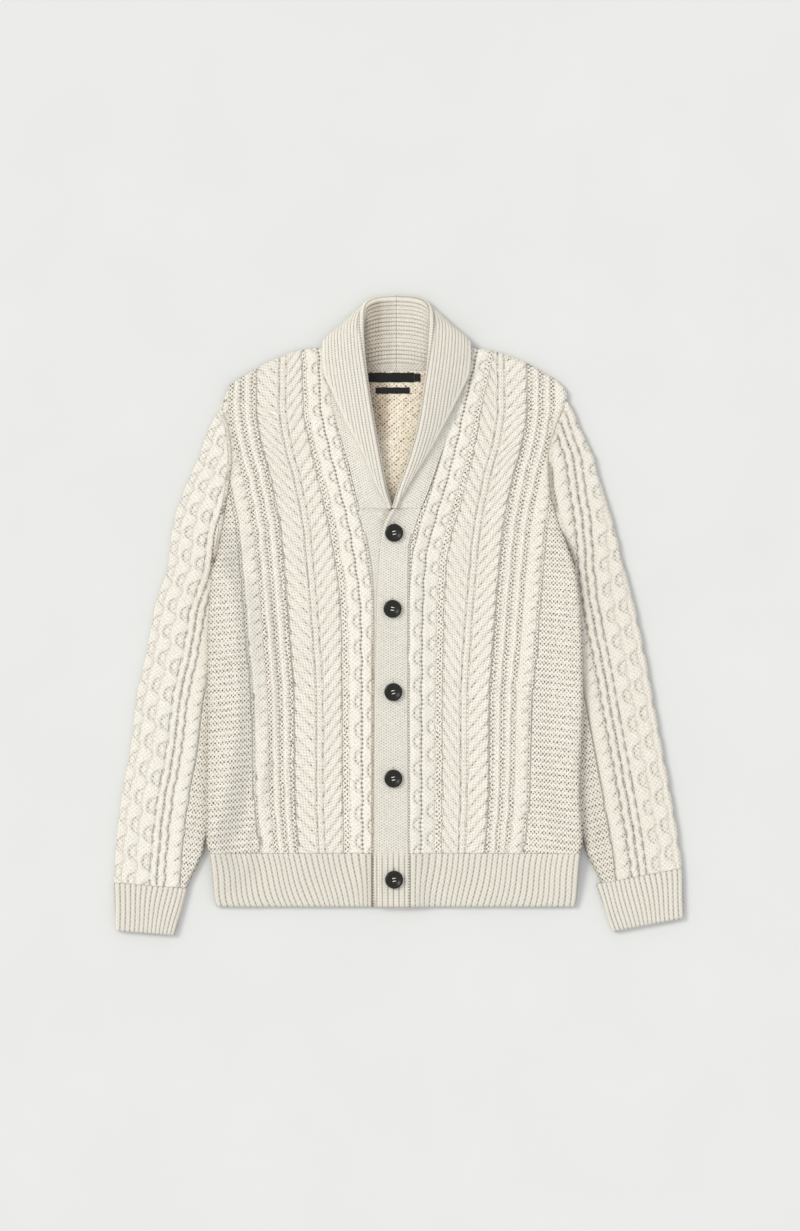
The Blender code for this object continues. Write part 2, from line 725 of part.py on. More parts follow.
def buttons():
    """Turned discs with a raised rim round a dished middle."""
    radius, thick = BUTTON_RADIUS, BUTTON_THICKNESS
    profile = [
        (0.0, thick * 0.62),
        (radius * 0.55, thick * 0.68),
        (radius * 0.78, thick),
        (radius * 0.93, thick * 0.92),
        (radius, thick * 0.5),
        (radius * 0.85, 0.0),
        (0.0, 0.0),
    ]
    bottom = BACK_WALL + 2 * (SEAM + BAND_WALL) + 0.4 + 0.7 + SEAM
    for number, (x, y) in BUTTONS.items():
        data = bpy.data.meshes.new(f"button_{number}")
        points = [(r * MM, 0.0, z * MM) for r, z in profile]
        data.from_pydata(points, [(k, k + 1) for k in range(len(points) - 1)], [])
        made = add_object(f"button_{number}", data, horn)
        made.location = (x * MM, y * MM, bottom * MM)
        turn = made.modifiers.new("Turn", "SCREW")
        turn.steps = turn.render_steps = 16
        turn.use_merge_vertices = True
        turn.merge_threshold = 0.00001
        turn.use_smooth_shade = True


def labels():
    """Bare woven labels on the inside of the back, under the neck seam."""
    for name, (x0, x1, y0, y1) in LABELS.items():
        mesh = bmesh.new()
        bmesh.ops.create_cube(mesh, size=1.0)
        bmesh.ops.scale(mesh, vec=((x1 - x0) * MM, (y1 - y0) * MM, LABEL_WALL * MM), verts=mesh.verts)
        data = bpy.data.meshes.new(name)
        mesh.to_mesh(data)
        mesh.free()
        made = add_object(name, data, woven)
        height = BACK_WALL + SEAM + LABEL_WALL / 2
        made.location = ((x0 + x1) / 2 * MM, (y0 + y1) / 2 * MM, height * MM)


def material(name):
    colour, roughness = COLOURS[name]
    made = bpy.data.materials.new(name)
    made.use_nodes = True
    made.diffuse_color = colour
    shader = made.node_tree.nodes["Principled BSDF"]
    shader.inputs["Base Color"].default_value = colour
    shader.inputs["Roughness"].default_value = roughness
    shader.inputs["Metallic"].default_value = 0.0
    return made


def new_collection(name):
    made = bpy.data.collections.new(name)
    bpy.context.scene.collection.children.link(made)
    return made


for old in list(bpy.data.objects):
    bpy.data.objects.remove(old, do_unlink=True)
parts = new_collection("Cardigan")
cutters = new_collection("Cutters")
cotton = material("ecru_cotton")
rib = material("ecru_rib")
horn = material("horn_black")
woven = material("woven_black")

back()
back_hem()
for a_side in SIDES:
    front(a_side)
    hem(a_side)
    sleeve(a_side)
    cuff(a_side)
    band(a_side)
    collar(a_side)
buttons()
labels()
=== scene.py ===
# %% [markdown]
# # A shawl collar cardigan in cable knit
# The cardigan lies flat on its back, buttoned, with its sleeves at its sides. Its looks come from
# knitting: cables that stand up to 1.5 mm proud, rows of small dark gaps between the ribs, and a
# matt cotton yarn. So each cloth piece is a closed wall of points, close enough together to carry
# its own cables, and a material that draws only what is finer than that, the stitches, with the
# shade in their gaps painted on.
# Lengths are in millimetres until a mesh is made. X runs to the right, Y to the neck, Z up.

# %% Load the frame
import math
from functools import partial

import bpy
import numpy as np
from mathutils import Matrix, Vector


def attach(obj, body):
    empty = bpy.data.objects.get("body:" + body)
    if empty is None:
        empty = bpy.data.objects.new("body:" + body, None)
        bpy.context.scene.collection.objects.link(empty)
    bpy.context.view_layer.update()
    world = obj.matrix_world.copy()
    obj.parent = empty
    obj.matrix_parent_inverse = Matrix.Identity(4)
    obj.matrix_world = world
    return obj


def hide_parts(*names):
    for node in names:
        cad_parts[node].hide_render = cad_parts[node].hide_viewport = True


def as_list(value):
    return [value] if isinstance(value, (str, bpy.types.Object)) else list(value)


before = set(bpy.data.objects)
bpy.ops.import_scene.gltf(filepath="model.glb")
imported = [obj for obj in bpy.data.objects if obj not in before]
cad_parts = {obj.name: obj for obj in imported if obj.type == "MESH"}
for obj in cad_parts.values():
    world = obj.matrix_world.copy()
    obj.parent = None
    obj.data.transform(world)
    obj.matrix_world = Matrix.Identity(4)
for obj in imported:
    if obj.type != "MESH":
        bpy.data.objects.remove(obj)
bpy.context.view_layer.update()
MM = 0.001

# %% [markdown]
# ## The outline
# A garment is drawn as a few lines: shoulders, armholes, side seams, neck. Each line is a short
# table of measured points, and a curve that never swings past them joins the points. Tables
# are easy to check with a ruler, and every piece reads the same lines, so seams meet.

# %% Lines of the garment
WALL, BACK_WALL, BAND_WALL, COLLAR_WALL = 3.2, 3.6, 3.2, 3.6  # thickness of the cloth
SLEEVE_HOLLOW = 1  # between the two walls of a flattened sleeve
TUBE = 2 * WALL + SLEEVE_HOLLOW
SEAM, CLEAR = 0.4, 0.01  # a gap between layers, and half of the gap that shows in a seam
BODY_TOP, ARMHOLE, V_POINT, BODY_BOTTOM, HEM_BOTTOM = 333, 269, 132, -295, -361
AXIS, COLLAR_AXIS = -9, -3  # the middle of the fronts, and of the collar
DRAPE = 36  # the width over which cloth comes down beside a sleeve
SIDES = {"left": -1, "right": 1}
BODY_EDGE = [  # (y, x left, x right)
    (269, -217, 208), (256, -218, 204), (232, -211, 194), (195, -207, 185), (158, -211, 187),
    (114, -218, 198), (87, -222, 208), (44, -233, 221), (-31, -237, 227), (-105, -237, 228),
    (-215, -238, 224), (-281, -238, 227), (-295, -234, 224), (-320, -231, 222),
    (-348, -229, 220), (-361, -226, 218),
]
SHOULDER = [  # (distance from the collar's axis, y left, y right)
    (60, 334, 334), (94, 331, 331), (116, 329, 328), (158, 314, 314), (184, 299, 300),
    (207, 284, 283), (214, 268, 269),
]
NECK_SEAM = [  # (y, x left, x right)
    (340, -75, 69), (322, -75, 69), (306, -80, 74), (286, -86, 80), (261, -83, 77), (233, -76, 65),
    (195, -65, 51), (154, -55, 37), (133, -50, 28), (111, -45, 20), (87, -40, 14), (56, -35, 13),
    (19, -33, 13), (-105, -33, 13), (-361, -33, 14),
]
SLEEVE_OUT = [  # (y, x left, x right)
    (269, -217, 208), (255, -223, 215), (225, -238, 228), (195, -248, 242), (165, -262, 250),
    (106, -281, 268), (61, -286, 279), (16, -301, 291), (-43, -312, 304), (-103, -325, 315),
    (-162, -332, 326), (-222, -343, 337), (-281, -350, 347), (-331, -353, 352), (-390, -351, 353),
]
TUCK = [  # (y, how far a sleeve's inner fold lies under the body's side)
    (269, -2 * SEAM), (70, -2 * SEAM), (45, 12), (19, 22), (-31, 28), (-105, 30), (-167, 25),
    (-229, 14), (-266, 4), (-284, -2), (-296, -8), (-311, -15), (-331, -25), (-396, -44),
]
SIDE_LIFT = [(333, 0), (112, 0), (74, 9.2), (-262, 9.2), (-292, 7.5), (-335, 1.5), (-361, 0)]
SLEEVE_ENDS = {"left": (-331, -390.6, 0.08), "right": (-313, -375, 0.19)}  # cuff top, end, slope


def curve(table, column):
    """A smooth line through one column of a table, which never swings past its rows."""
    knots, values = np.array(sorted(table), float)[:, [0, column]].T
    steps = np.diff(knots)
    slopes = np.diff(values) / steps
    tangents = np.concatenate([slopes[:1], np.zeros(len(slopes) - 1), slopes[-1:]])
    same = slopes[:-1] * slopes[1:] > 0
    mean = 2 * slopes[:-1] * slopes[1:] / np.where(same, slopes[:-1] + slopes[1:], 1)
    tangents[1:-1] = np.where(same, mean, 0)

    def read(at):
        at = np.clip(at, knots[0], knots[-1])
        i = np.clip(np.searchsorted(knots, at) - 1, 0, len(steps) - 1)
        t = (at - knots[i]) / steps[i]
        start = (1 + 2 * t) * (1 - t) ** 2 * values[i] + t * (1 - t) ** 2 * steps[i] * tangents[i]
        end = t * t * (3 - 2 * t) * values[i + 1] + t * t * (t - 1) * steps[i] * tangents[i + 1]
        return start + end

    return read


def both_sides(table, first=1, line=curve):
    return {"left": line(table, first), "right": line(table, first + 1)}


def straight(table, column):
    knots, values = np.array(sorted(table), float)[:, [0, column]].T
    return lambda at: np.interp(at, knots, values)


body_edge = both_sides(BODY_EDGE)
neck_seam = both_sides(NECK_SEAM, line=straight)
shoulder = both_sides(SHOULDER)
sleeve_out = both_sides(SLEEVE_OUT)
tuck, side_lift = curve(TUCK, 1), curve(SIDE_LIFT, 1)
print("width at the chest:", round(float(body_edge["right"](44) - body_edge["left"](44))), "mm")

# %% [markdown]
# ## How high each layer lies
# The back lies on the table. At its sides the body lies on the tucked-in sleeves, so it rises
# there and comes down again over 36 mm, as cloth does. The fronts lie on the back, and the right
# front also rises to the band that laps the other. One function gives the height of a front's
# underside anywhere, so that no two layers meet.

# %% Heights
def unit(t):
    return np.clip(t, 0, 1)


def ease(t):
    """0 up to 0, 1 from 1 on, and a smooth step between."""
    t = unit(t)
    return t * t * (3 - 2 * t)


def ground(x, y, width=DRAPE):
    """Height of the body's underside: the table, or the sleeve that a side lies on."""
    lifts = []
    for side, sign in SIDES.items():
        inside = sign * (body_edge[side](y) - x)
        cover = 1 - ease((inside - np.maximum(tuck(y), 0) - 5) / width)
        lifts.append(cover * side_lift(y))
    return np.maximum(*lifts)


def front_floor(x, y):
    near_band = 1 - ease((x - neck_seam["right"](y) - 2) / 30)
    lap = np.where(x > 0, near_band * ease((V_POINT + 60 - y) / 90), 0)
    slack = 2 * ease(ground(x, y, DRAPE + 26) / 2)
    return ground(x, y) + slack + BACK_WALL + SEAM + lap * (BAND_WALL + SEAM)


print("a front's underside lies", round(float(front_floor(-230, 0)), 1), "mm up at its side")

# %% [markdown]
# ## Closed walls
# Knitted cloth has a real thickness, so every piece is a closed wall: a fine grid of points for
# the face that shows, a coarse one for the face that doesn't, and a rim that joins them. Grids
# keep the rows of the mesh along the rows of the knitting. Three numbers ride on each point: how
# much painted shade it gets, in the gaps and furrows between cables and beside other pieces,
# and how strongly a line of gaps, or a field of them, shows there, as dots of painted shade.

# %% Wall builder
# The first mark is painted shade; the other two set where dark dots of painted shade show in the gaps.
MARKS = ("hollow", "dotted", "purl")


def stack(*parts):
    """Puts together the numbers of each point of a grid, such as its x, y and z."""
    return np.stack(np.broadcast_arrays(*parts), -1)


def grid_quads(at):
    """The corners of each cell in a grid of point numbers."""
    return stack(at[:-1, :-1], at[:-1, 1:], at[1:, 1:], at[1:, :-1]).reshape(-1, 4)


def signed_volume(mesh):
    mesh.calc_loop_triangles()
    corners = np.zeros(len(mesh.loop_triangles) * 3, int)
    mesh.loop_triangles.foreach_get("vertices", corners)
    points = np.zeros(len(mesh.vertices) * 3)
    mesh.vertices.foreach_get("co", points)
    a, b, c = np.moveaxis(points.reshape(-1, 3)[corners].reshape(-1, 3, 3), 1, 0)
    return float(np.sum(a * np.cross(b, c)) / 6)


def picks(count, step):
    return sorted({*range(0, count, step), count - 1})


def placed(name, data):
    piece = bpy.data.objects.new(name, data)
    bpy.context.scene.collection.objects.link(piece)
    return piece


def make_mesh(name, points, faces, smooth, uv=None, **marks):
    """A mesh object. Only its first faces are smooth, so a rim doesn't darken the edge of the face
    beside it. Its first points have places on the stitch map, and a number for each mark."""
    mesh = bpy.data.meshes.new(name)
    mesh.from_pydata((np.asarray(points) * MM).tolist(), [], faces)

    def whole(values):
        rest = len(points) - len(values)
        return np.concatenate([values, np.zeros((rest, *values.shape[1:]))])

    if uv is not None:
        corners = np.zeros(len(mesh.loops), int)
        mesh.loops.foreach_get("vertex_index", corners)
        mesh.uv_layers.new(name="stitches").data.foreach_set("uv", whole(uv)[corners].ravel())
    for mark, values in marks.items():
        mesh.attributes.new(mark, "FLOAT", "POINT").data.foreach_set("value", whole(values))
    mesh.polygons.foreach_set("use_smooth", np.arange(len(faces)) < smooth)
    if signed_volume(mesh) < 0:
        mesh.flip_normals()
    mesh.update()
    return placed(name, mesh)


def numbered(grid, first, around):
    """The number of each point of a grid. A tube has its first line again at the end."""
    at = first + np.arange(grid[..., 0].size).reshape(grid.shape[:2])
    return np.hstack([at, at[:, :1]]) if around else at


def closed_wall(name, top, under, knit, steps=(8, 8), around=False):
    """top and under are [row][line] grids of points. under keeps only every few rows and lines,
    and where it keeps them all, it is for a wall whose under face shows its stitches too."""
    outer = numbered(top, 0, around)
    rows, lines = (picks(count, step) for count, step in zip(outer.shape, steps))
    low = under[np.ix_(rows, lines[: len(lines) - around])]
    inner = numbered(low, top[..., 0].size, around)
    faces = grid_quads(outer).tolist()
    smooth, copies = len(faces), 1
    faces += grid_quads(inner)[:, ::-1].tolist()
    if steps == (1, 1):
        smooth, copies = len(faces), 2
    edges = [(lines, outer[0], inner[0], -1), (lines, outer[-1], inner[-1], 1)]
    if not around:
        edges += [(rows, outer[:, 0], inner[:, 0], 1), (rows, outer[:, -1], inner[:, -1], -1)]
    for kept, fine, coarse, way in edges:
        fine, coarse = fine.tolist(), coarse.tolist()
        for n, (a, b) in enumerate(zip(kept, kept[1:])):
            faces.append([coarse[n + 1], coarse[n], *fine[a : b + 1]][::way])
    points = np.concatenate([top.reshape(-1, 3), low.reshape(-1, 3)])
    uv = np.tile(knit["uv"].reshape(-1, 2), (copies, 1))
    marks = {mark: np.tile(knit[mark].ravel(), copies) for mark in MARKS}
    return make_mesh(name, points, faces, smooth, uv, **marks)


def laid_wall(name, x, y, under, over, knit, steps=(8, 8)):
    """A wall between two heights over the same places."""
    return closed_wall(name, stack(x, y, over), stack(x, y, under), knit, steps)


def droop(distance, width, depth):
    """How far a free edge bends down, at a distance from it."""
    return depth * (1 - unit(distance / width)) ** 2


# %% [markdown]
# ## Cables, herringbone and moss
# Each stitch pattern is a function from two numbers to a height: where a point lies across its
# column, and how many rows of knitting lie below it. A wave cable is a rounded strand that
# swings out and back, with a small leaf of cloth tucked into each bend. A herringbone is a
# stack of slanting bands, each with rounded ends. Moss is a checkerboard of bumps.

# %% Stitch patterns
COURSE = curve([(333, 2.42), (100, 2.48), (-50, 2.6), (-150, 2.72), (-400, 2.72)], 1)
WAVE_PERIOD = curve([
    (333, 26.2), (240, 26.8), (90, 29.4), (20, 31.4), (-60, 33.6), (-130, 34.6), (-361, 34.4),
], 1)
ROWS_DRAWN = 2  # rows of knitting to one drawn row: 2.6 mm is too fine to show from 5 m up
WALE = 2.9  # width of one drawn stitch
FINE_ROWS = 1.28  # the same, on the bands and the collar


def counted(step):
    """A function that counts how many steps of a slowly changing length lie below a height."""
    heights = np.arange(-420, 420, 0.5)
    total = np.concatenate([[0], np.cumsum(0.5 / step((heights[1:] + heights[:-1]) / 2))])
    return lambda y: np.interp(y, heights, total)


courses, waves = counted(COURSE), counted(WAVE_PERIOD)


def bell(t):
    return np.exp(-t * t)


def dome(t, power=2.6):
    """1 in the middle of a column and 0 at its sides, where t is -1 and 1."""
    return np.sqrt(unit(1 - np.abs(t) ** power))


def wander(x, y, size):
    """Smooth, repeatable unevenness of about 1, in waves of about one size."""
    a, b = x * 2 * math.pi / size, y * 2 * math.pi / size
    first = np.sin(a + 1.7 * np.sin(0.61 * b + 1))
    second = np.sin(1.37 * b + 1.3 * np.sin(0.77 * a + 2))
    return (first + second + np.sin(0.8 * a - 1.1 * b + 4)) / 2.2


def wave_cable(knit, right, wide, phase, drawn, bulge, tall, least, hollow, purl):
    """A strand that swings out and back. right is -1 to 1 across it, a leaf is at each whole
    phase, and bulge is how far it swings to its right. tall is its height and least the lowest,
    and the last two give the strengths of painted shade and of purl in its gap and on its rim."""
    q = (phase + 0.5) % 1 - 0.5
    reach = 0.25
    bend = np.sqrt(unit(1 - (q / reach) ** 2))
    belly = 0.5 + bulge * np.sqrt(unit(1 - ((np.abs(q) - 0.5) / (0.5 - reach)) ** 2))
    side = np.where(np.abs(q) < reach, 0.5 - 0.6 * bend, belly)
    t = (right + 1) / (side + 1)
    strand = 1.2 * dome(2 * t - 1) * (t < 1)
    away = np.hypot((right - 0.53) / 0.42, q / 0.17)
    gap = unit((right - side) / 0.14 + 0.6) * unit((away - 0.8) / 0.3) * bell(q / 0.27)
    rim = bell((right - side) / 0.13)
    high = np.maximum(strand, 0.8 * dome(away, 2.4)) - 0.15 * gap
    inside = (np.abs(right) < 1) | ((right > 0) & (high > 0.3))
    layer(
        knit, inside, np.maximum(tall * high, least), right * wide / 4 / WALE, drawn,
        hollow=hollow[0] * gap + hollow[1] * rim, purl=np.maximum(purl[0] * gap, purl[1] * rim),
    )


def herringbone(away, width, y, slope):
    """Slanting bands that run up from a spine: away is the distance from the spine."""
    phase = courses(y) / 6 - slope * away / (6 * COURSE(y))
    f = phase % 1
    close = np.minimum(f, 1 - f)
    cut = ease((away + 0.5) / 3.5)
    rise, fall = np.sin(f / 0.3 * math.pi / 2), np.cos((f - 0.3) / 0.7 * math.pi / 2)
    band = np.where(f < 0.3, rise, fall ** 0.7)
    scallop = width - 2.8 * (2 * ((f + 0.1) % 1) - 1) ** 2
    ends = unit((scallop - away) / 1.5) ** 0.5 * unit((away + 0.6) / 1.6) ** 0.5
    height = (0.5 + 0.7 * (band * cut + 0.75 * (1 - cut))) * ends
    near_ends = np.maximum(bell((away - 6) / 3), bell((width - away - 3) / 6))
    groove = bell(close / 0.07) * cut * (0.45 + 0.55 * near_ends)
    along = (away + slope * y) / np.hypot(1, slope) / WALE / ROWS_DRAWN
    return height - 0.25 * groove, groove, 1 - ends, phase * 2.5, along


def rope(right, phase):
    """A column of two twisted strands, whose lobes bulge at its right: right is -1 to 1 across."""
    f = (phase - 0.26 * right) % 1
    close = np.minimum(f, 1 - f)
    edge = 1.05 - 0.3 * bell(close / 0.16)
    groove = bell(close / 0.07) * unit((right + 0.3) / 0.8)
    t = (right + 1) / (edge + 1)
    high = 1.2 * dome(2 * t - 1) * (t < 1)
    return high - 0.2 * groove * (t < 1), groove


def layer(knit, mask, height, u, v, **marks):
    """Puts one column's pattern into a panel where the mask says so."""
    knit["height"] = np.where(mask, height, knit["height"])
    for mark in MARKS:
        knit[mark] = np.where(mask, marks.get(mark, 0), knit[mark])
    knit["uv"] = np.where(mask[..., None], stack(u, v), knit["uv"])


def plain(x, y):
    """Purl ground, whose gaps stand in a zigzag as dots of painted shade: the starting pattern
    of every panel.
    """
    knit = {"hollow": 0 * x, "dotted": 0 * x, "purl": 0 * x + 1, "height": 0 * x + 0.3}
    return {**knit, "uv": stack(x / (2 * WALE), courses(y) / ROWS_DRAWN)}


def purl_column(knit, distance, y, width):
    """A furrow of purl between two raised columns, with two lines of gaps in a zigzag."""
    u, v = distance / 4.8 + 0.25, courses(y) / ROWS_DRAWN
    # Painted shade down the middle of the furrow.
    hollow = 0.16 * bell(2 * distance / width)
    layer(knit, np.abs(distance) < width / 2, 0.2, u, v, purl=1, hollow=hollow)


def line_of_gaps(knit, distance, strength=1, width=1):
    """A furrow with a gap at every row of knitting, each drawn as a dot of painted shade."""
    near = bell(distance / width)
    knit["dotted"] = np.maximum(knit["dotted"], strength * near)
    knit["height"] = knit["height"] - 0.2 * strength * near


def moss(knit, mask, d, y):
    """Moss: bumps with gaps between, strong in every third row, that drop a little sideways."""
    row = courses(y) + 0.04 * d
    turn = 2 * math.pi * row / 3
    strength = 0.62 + 0.5 * np.cos(turn) - 0.2 * np.sin(turn)
    purl = np.clip(1.15 * strength, 0, 1.4)
    # The gaps are dots of painted shade, and the field gets a little painted shade all over.
    layer(knit, mask, 0.6 + 0.12 * np.sin(turn), d / 4.6, row / 2, purl=purl, hollow=0.06)


print("a herringbone band is", round(float(6 * COURSE(0)), 1), "mm tall")

# %% [markdown]
# ## The fronts
# A front has seven columns from the button band to the side: two wave cables, a narrow seed
# column, a herringbone with its spine, two ribs, a rope and a field of moss. The columns lean
# in with the V neck, so each is placed by a table of its distance from the middle.

# %% Fronts
COLUMNS = [  # (y, cables left, cables right, spine, spread)
    (333, 91, 107, 134.5, 1), (314, 90, 103, 135, 1), (258, 88, 90, 135.5, 1),
    (215, 79.5, 81, 129.5, 1), (176, 69.5, 71.2, 119, 1), (138, 59.8, 60, 111, 1),
    (107, 52.6, 50.6, 105.5, 1), (72, 46.4, 42.6, 102, 1), (19, 39.5, 38.8, 97.3, 1),
    (-31, 37.6, 37.6, 93.5, 1), (-105, 37, 37, 89.5, 0.97), (-217, 36.4, 36.8, 89.3, 0.94),
    (-295, 35.7, 36, 86.5, 0.88),
]
CABLE_WIDTH = both_sides([
    (333, 15.4, 15), (150, 15.6, 16.4), (19, 15.8, 17.4), (-100, 15.4, 17), (-295, 15.2, 16.4),
])
SEED_WIDTH = curve([(333, 5), (230, 6.5), (100, 9), (-295, 9)], 1)
SLOPES = {"left": (1.4, 1), "right": (1.65, 1.1)}  # the herringbone's halves, inner and outer
cable_middle, spine_at, spread = both_sides(COLUMNS), curve(COLUMNS, 3), curve(COLUMNS, 4)
LEAVES = {"left": (-88.5, 0.55), "right": (27.9, 0.5)}  # a leaf's height, the next cable's lag
SPINE = 4.9  # half of the spine's width
FRONT_LINES = (9, 16, 16, 27, 9, 26, 24, 44)  # mesh lines between the lines that the columns follow
FRONT_PLACES = np.concatenate([
    *(np.linspace(k, k + 1, count, endpoint=False) for k, count in enumerate(FRONT_LINES)),
    [len(FRONT_LINES)],
])


def front_knit(side, x, y):
    sign = SIDES[side]
    d = sign * (x - AXIS) + 0.4 * wander(x, y, 46)
    rows = courses(y)
    drawn = rows / ROWS_DRAWN
    middle, wide, seed = cable_middle[side](y), CABLE_WIDTH[side](y), SEED_WIDTH(y)
    spine, k = spine_at(y), spread(y)
    # Each column below gets painted shade in its gaps, grooves and furrows.
    knit = plain(d, y)
    leaf_at, lag = LEAVES[side]
    lags = (0, lag) if side == "left" else (lag, 0)
    for low, shift in zip((middle - wide, middle), lags):
        right, phase = sign * ((d - low) / wide * 2 - 1), waves(y) - waves(leaf_at) + shift
        wave_cable(knit, right, wide, phase, drawn, 0.52, 1, -1, (0.08, 0.06), (0.6, 0.2))
    start = middle + wide
    bare = (d > start) & (d < start + seed) & (knit["height"] < 0.31)
    layer(knit, bare, 0.2, (d - start) / (2 * WALE), drawn, purl=0.8, hollow=0.08)
    inner, outer = SLOPES[side]
    lean = (spine_at(y + 1) - spine_at(y - 1)) / 2
    for away, width, slope, strong in (
        (spine - SPINE - d, spine - SPINE - start - seed, inner / (1 + inner * lean), 0.5),
        (d - spine - SPINE, 27 * k, outer / (1 - outer * lean), 1),
    ):
        high, groove, end, u, v = herringbone(away, width, y, slope)
        dash = strong * bell((away - 7) / 3) + 0.6 * bell((width - away - 2) / 3)
        purl = 0.1 + 0.8 * unit(groove * (0.3 + 0.7 * dash) + 0.8 * end)
        hollow = 0.05 + 0.5 * groove * (0.6 + 0.6 * dash)
        layer(knit, (away > 0) & (away < width), high, u, v, hollow=hollow, purl=purl)
    across = (d - spine) / 5
    high = 0.7 + 0.25 * np.cos(2.4 * math.pi * across)
    layer(knit, np.abs(across) < 1, high, across * 0.9, drawn, purl=0.15)
    zigzag = 0.55 * np.cos(2 * math.pi * drawn)
    for centre in (42.7, 56.5):
        across = (d + zigzag - spine - centre * k) / (4.5 * k)
        high = 1.1 * dome(across)
        layer(knit, np.abs(across) < 1, high, across * 0.8, drawn, purl=0.2, hollow=0.03)
    right = sign * (d - spine - 74.6 * k) / (8.2 * k)
    high, groove = rope(right, rows / 6.1)
    hollow, purl = 0.05 + 0.3 * groove, 0.1 + 0.9 * groove
    layer(knit, np.abs(right) < 1.05, high, right * 1.6, drawn, hollow=hollow, purl=purl)
    moss(knit, d > spine + 87 * k, d, y)
    for at, width in ((35.8, 4.9), (49.6, 4.8), (63.4, 5.2), (85.4, 4)):
        purl_column(knit, d - spine - at * k, y, width * k)
    sway = 0.5 * np.sin(2 * math.pi * (waves(y) + 0.2))
    pairs = unit(0.55 + 0.9 * np.cos(2 * math.pi * rows / 6))
    for at, strength, width in (
        (middle - wide, 0.7, 1), (middle + sway, 1.2, 0.9), (spine - 4, 0.45 + 0.8 * pairs, 0.9),
        (spine, 0.2, 0.7), (spine + 3.7, 0.85, 0.9),
    ):
        line_of_gaps(knit, d - at, strength, width)
    return knit


def front_x(side, y):
    """Where the mesh lines run: so many between each two of nine lines that the columns follow."""
    sign = SIDES[side]
    seam = sign * (neck_seam[side](y) - AXIS) + CLEAR
    edge = sign * (body_edge[side](y) - AXIS)
    middle, wide, spine, k = cable_middle[side](y), CABLE_WIDTH[side](y), spine_at(y), spread(y)
    anchors = stack(
        seam, middle - wide, middle, middle + wide, spine - SPINE, spine + SPINE,
        spine + 36 * k, spine + 63.7 * k, edge,
    )
    before = np.minimum(FRONT_PLACES.astype(int), len(FRONT_LINES) - 1)
    pick = np.broadcast_to(before, y.shape)[..., None]
    low, high = (np.take_along_axis(anchors, pick + n, 2)[..., 0] for n in (0, 1))
    past = FRONT_PLACES - before
    return AXIS + sign * (low * (1 - past) + high * past)


def front(side):
    sign = SIDES[side]
    t = np.linspace(0, 1, 470)[:, None] * np.ones(len(FRONT_PLACES))
    y = BODY_BOTTOM + (BODY_TOP - BODY_BOTTOM) * t
    x = front_x(side, y)
    for _ in range(10):
        x = 0.5 * x + 0.5 * front_x(side, y)
        y = BODY_BOTTOM + (shoulder[side](np.abs(x - COLLAR_AXIS)) - BODY_BOTTOM) * t
    knit = front_knit(side, x, y)
    floor = front_floor(x, y)
    outside = np.minimum(sign * (body_edge[side](y) - x), (1 - t) * 600)
    at_edge = np.minimum(outside, sign * (x - neck_seam[side](y)))
    fade = 0.4 + 0.6 * unit(np.minimum(at_edge, (y - BODY_BOTTOM) * 1.2) / 3) ** 0.5
    knit["height"] += 0.3 * wander(x, y, 90)
    sewn = ease((y - 60) / 30) * (y < ARMHOLE - 3)
    # Painted shade along the side, where the front lies over the sleeve.
    knit["hollow"] += (0.35 * bell(outside / 2.2) + 0.16 * bell(outside / 8)) * (t < 0.96)
    # Painted shade: a dark line along the left front's seam, beside the free edge of the band that laps
    # it.
    if side == "left":
        knit["hollow"] += 1.3 * bell((x - neck_seam[side](y)) / 1.3) * ease((20 - y) / 70)
    over = floor + WALL + knit["height"] * fade - droop(outside, 5, 2.4 - 1.9 * sewn)
    return laid_wall(f"front_{side}_knit", x, y, floor, over, knit)


print("mesh lines across a front:", len(FRONT_PLACES))

# %% [markdown]
# ## The sleeves
# A sleeve is a tube pressed flat, so it is built as one: rows of points run over the top from
# the outer fold to the inner one and back below, with a second, coarser skin inside. Three wave
# cables lie along the outer fold and their strands push the fold in and out, as a real one does.

# %% Sleeves
def sleeve_in(side, y):
    return body_edge[side](np.maximum(y, BODY_BOTTOM)) - SIDES[side] * tuck(y)


def ring_points(room, step, count):
    """Round each row of a pressed tube: distances from its outer fold, heights, and how much each
    point faces aside and up."""
    r = TUBE / 2
    room = room[:, 0]
    small = np.minimum(1, room / (2.2 * r))
    last = room - r * small
    fold = [(r - r * math.cos(a), math.cos(a), math.sin(a)) for a in np.radians([0, 22, 45, 68])]
    full = r + step * np.arange(count + 1)
    hold = np.maximum(room - 2 * r - 6, 0)
    ring = [(d * small, r + r * s, c, s) for d, c, s in fold]
    for d in full:
        bent = hold + (last - hold) * unit((d - hold) / np.maximum(full[-1] - hold, 1e-6))
        ring.append((np.where(d <= hold, d, np.maximum(bent, r * small)), TUBE, 0, 1))
    ring += [(room - d * small, r + r * s, -c, s) for d, c, s in reversed(fold)]
    ring += [(room - d * small, r - r * s, -c, -s) for d, c, s in fold[1:]]
    across = r * small, room - 2 * r * small
    ring += [(across[0] + across[1] * share, 0, 0, -1) for share in np.linspace(1, 0, 14)]
    ring += [(d * small, r - r * s, c, -s) for d, c, s in reversed(fold[1:])]
    return [np.stack([point[n] + 0 * room for point in ring], 1) for n in range(4)]


def pressed_tube(name, side, out, y, ring, raised, inside, knit, row_step, sewn=0):
    """A tube pressed flat. raised is how far the knitting stands out, inside is where the inner
    skin lies across the tube, and where the tube is sewn, its fold follows the armhole."""
    sign = SIDES[side]
    distance, height, aside, up = ring
    x = out - sign * distance + sign * aside * raised
    z = np.maximum(height + up * raised * (up > 0), 0)
    square = body_edge[side](np.maximum(y, BODY_BOTTOM)) + sign * (2 * CLEAR + 0.2 * up)
    x = x + (square - x) * sewn
    z = z + (TUBE + 0.1 - 0.5 * (1 - up) - z) * sewn
    depth = np.where(up > 0.5, WALL + SLEEVE_HOLLOW, np.where(up < -0.5, WALL, TUBE / 2))
    skin = stack(out - sign * inside, y, depth)
    return closed_wall(name, stack(x, y, z), skin, knit, (row_step, 6), around=True)


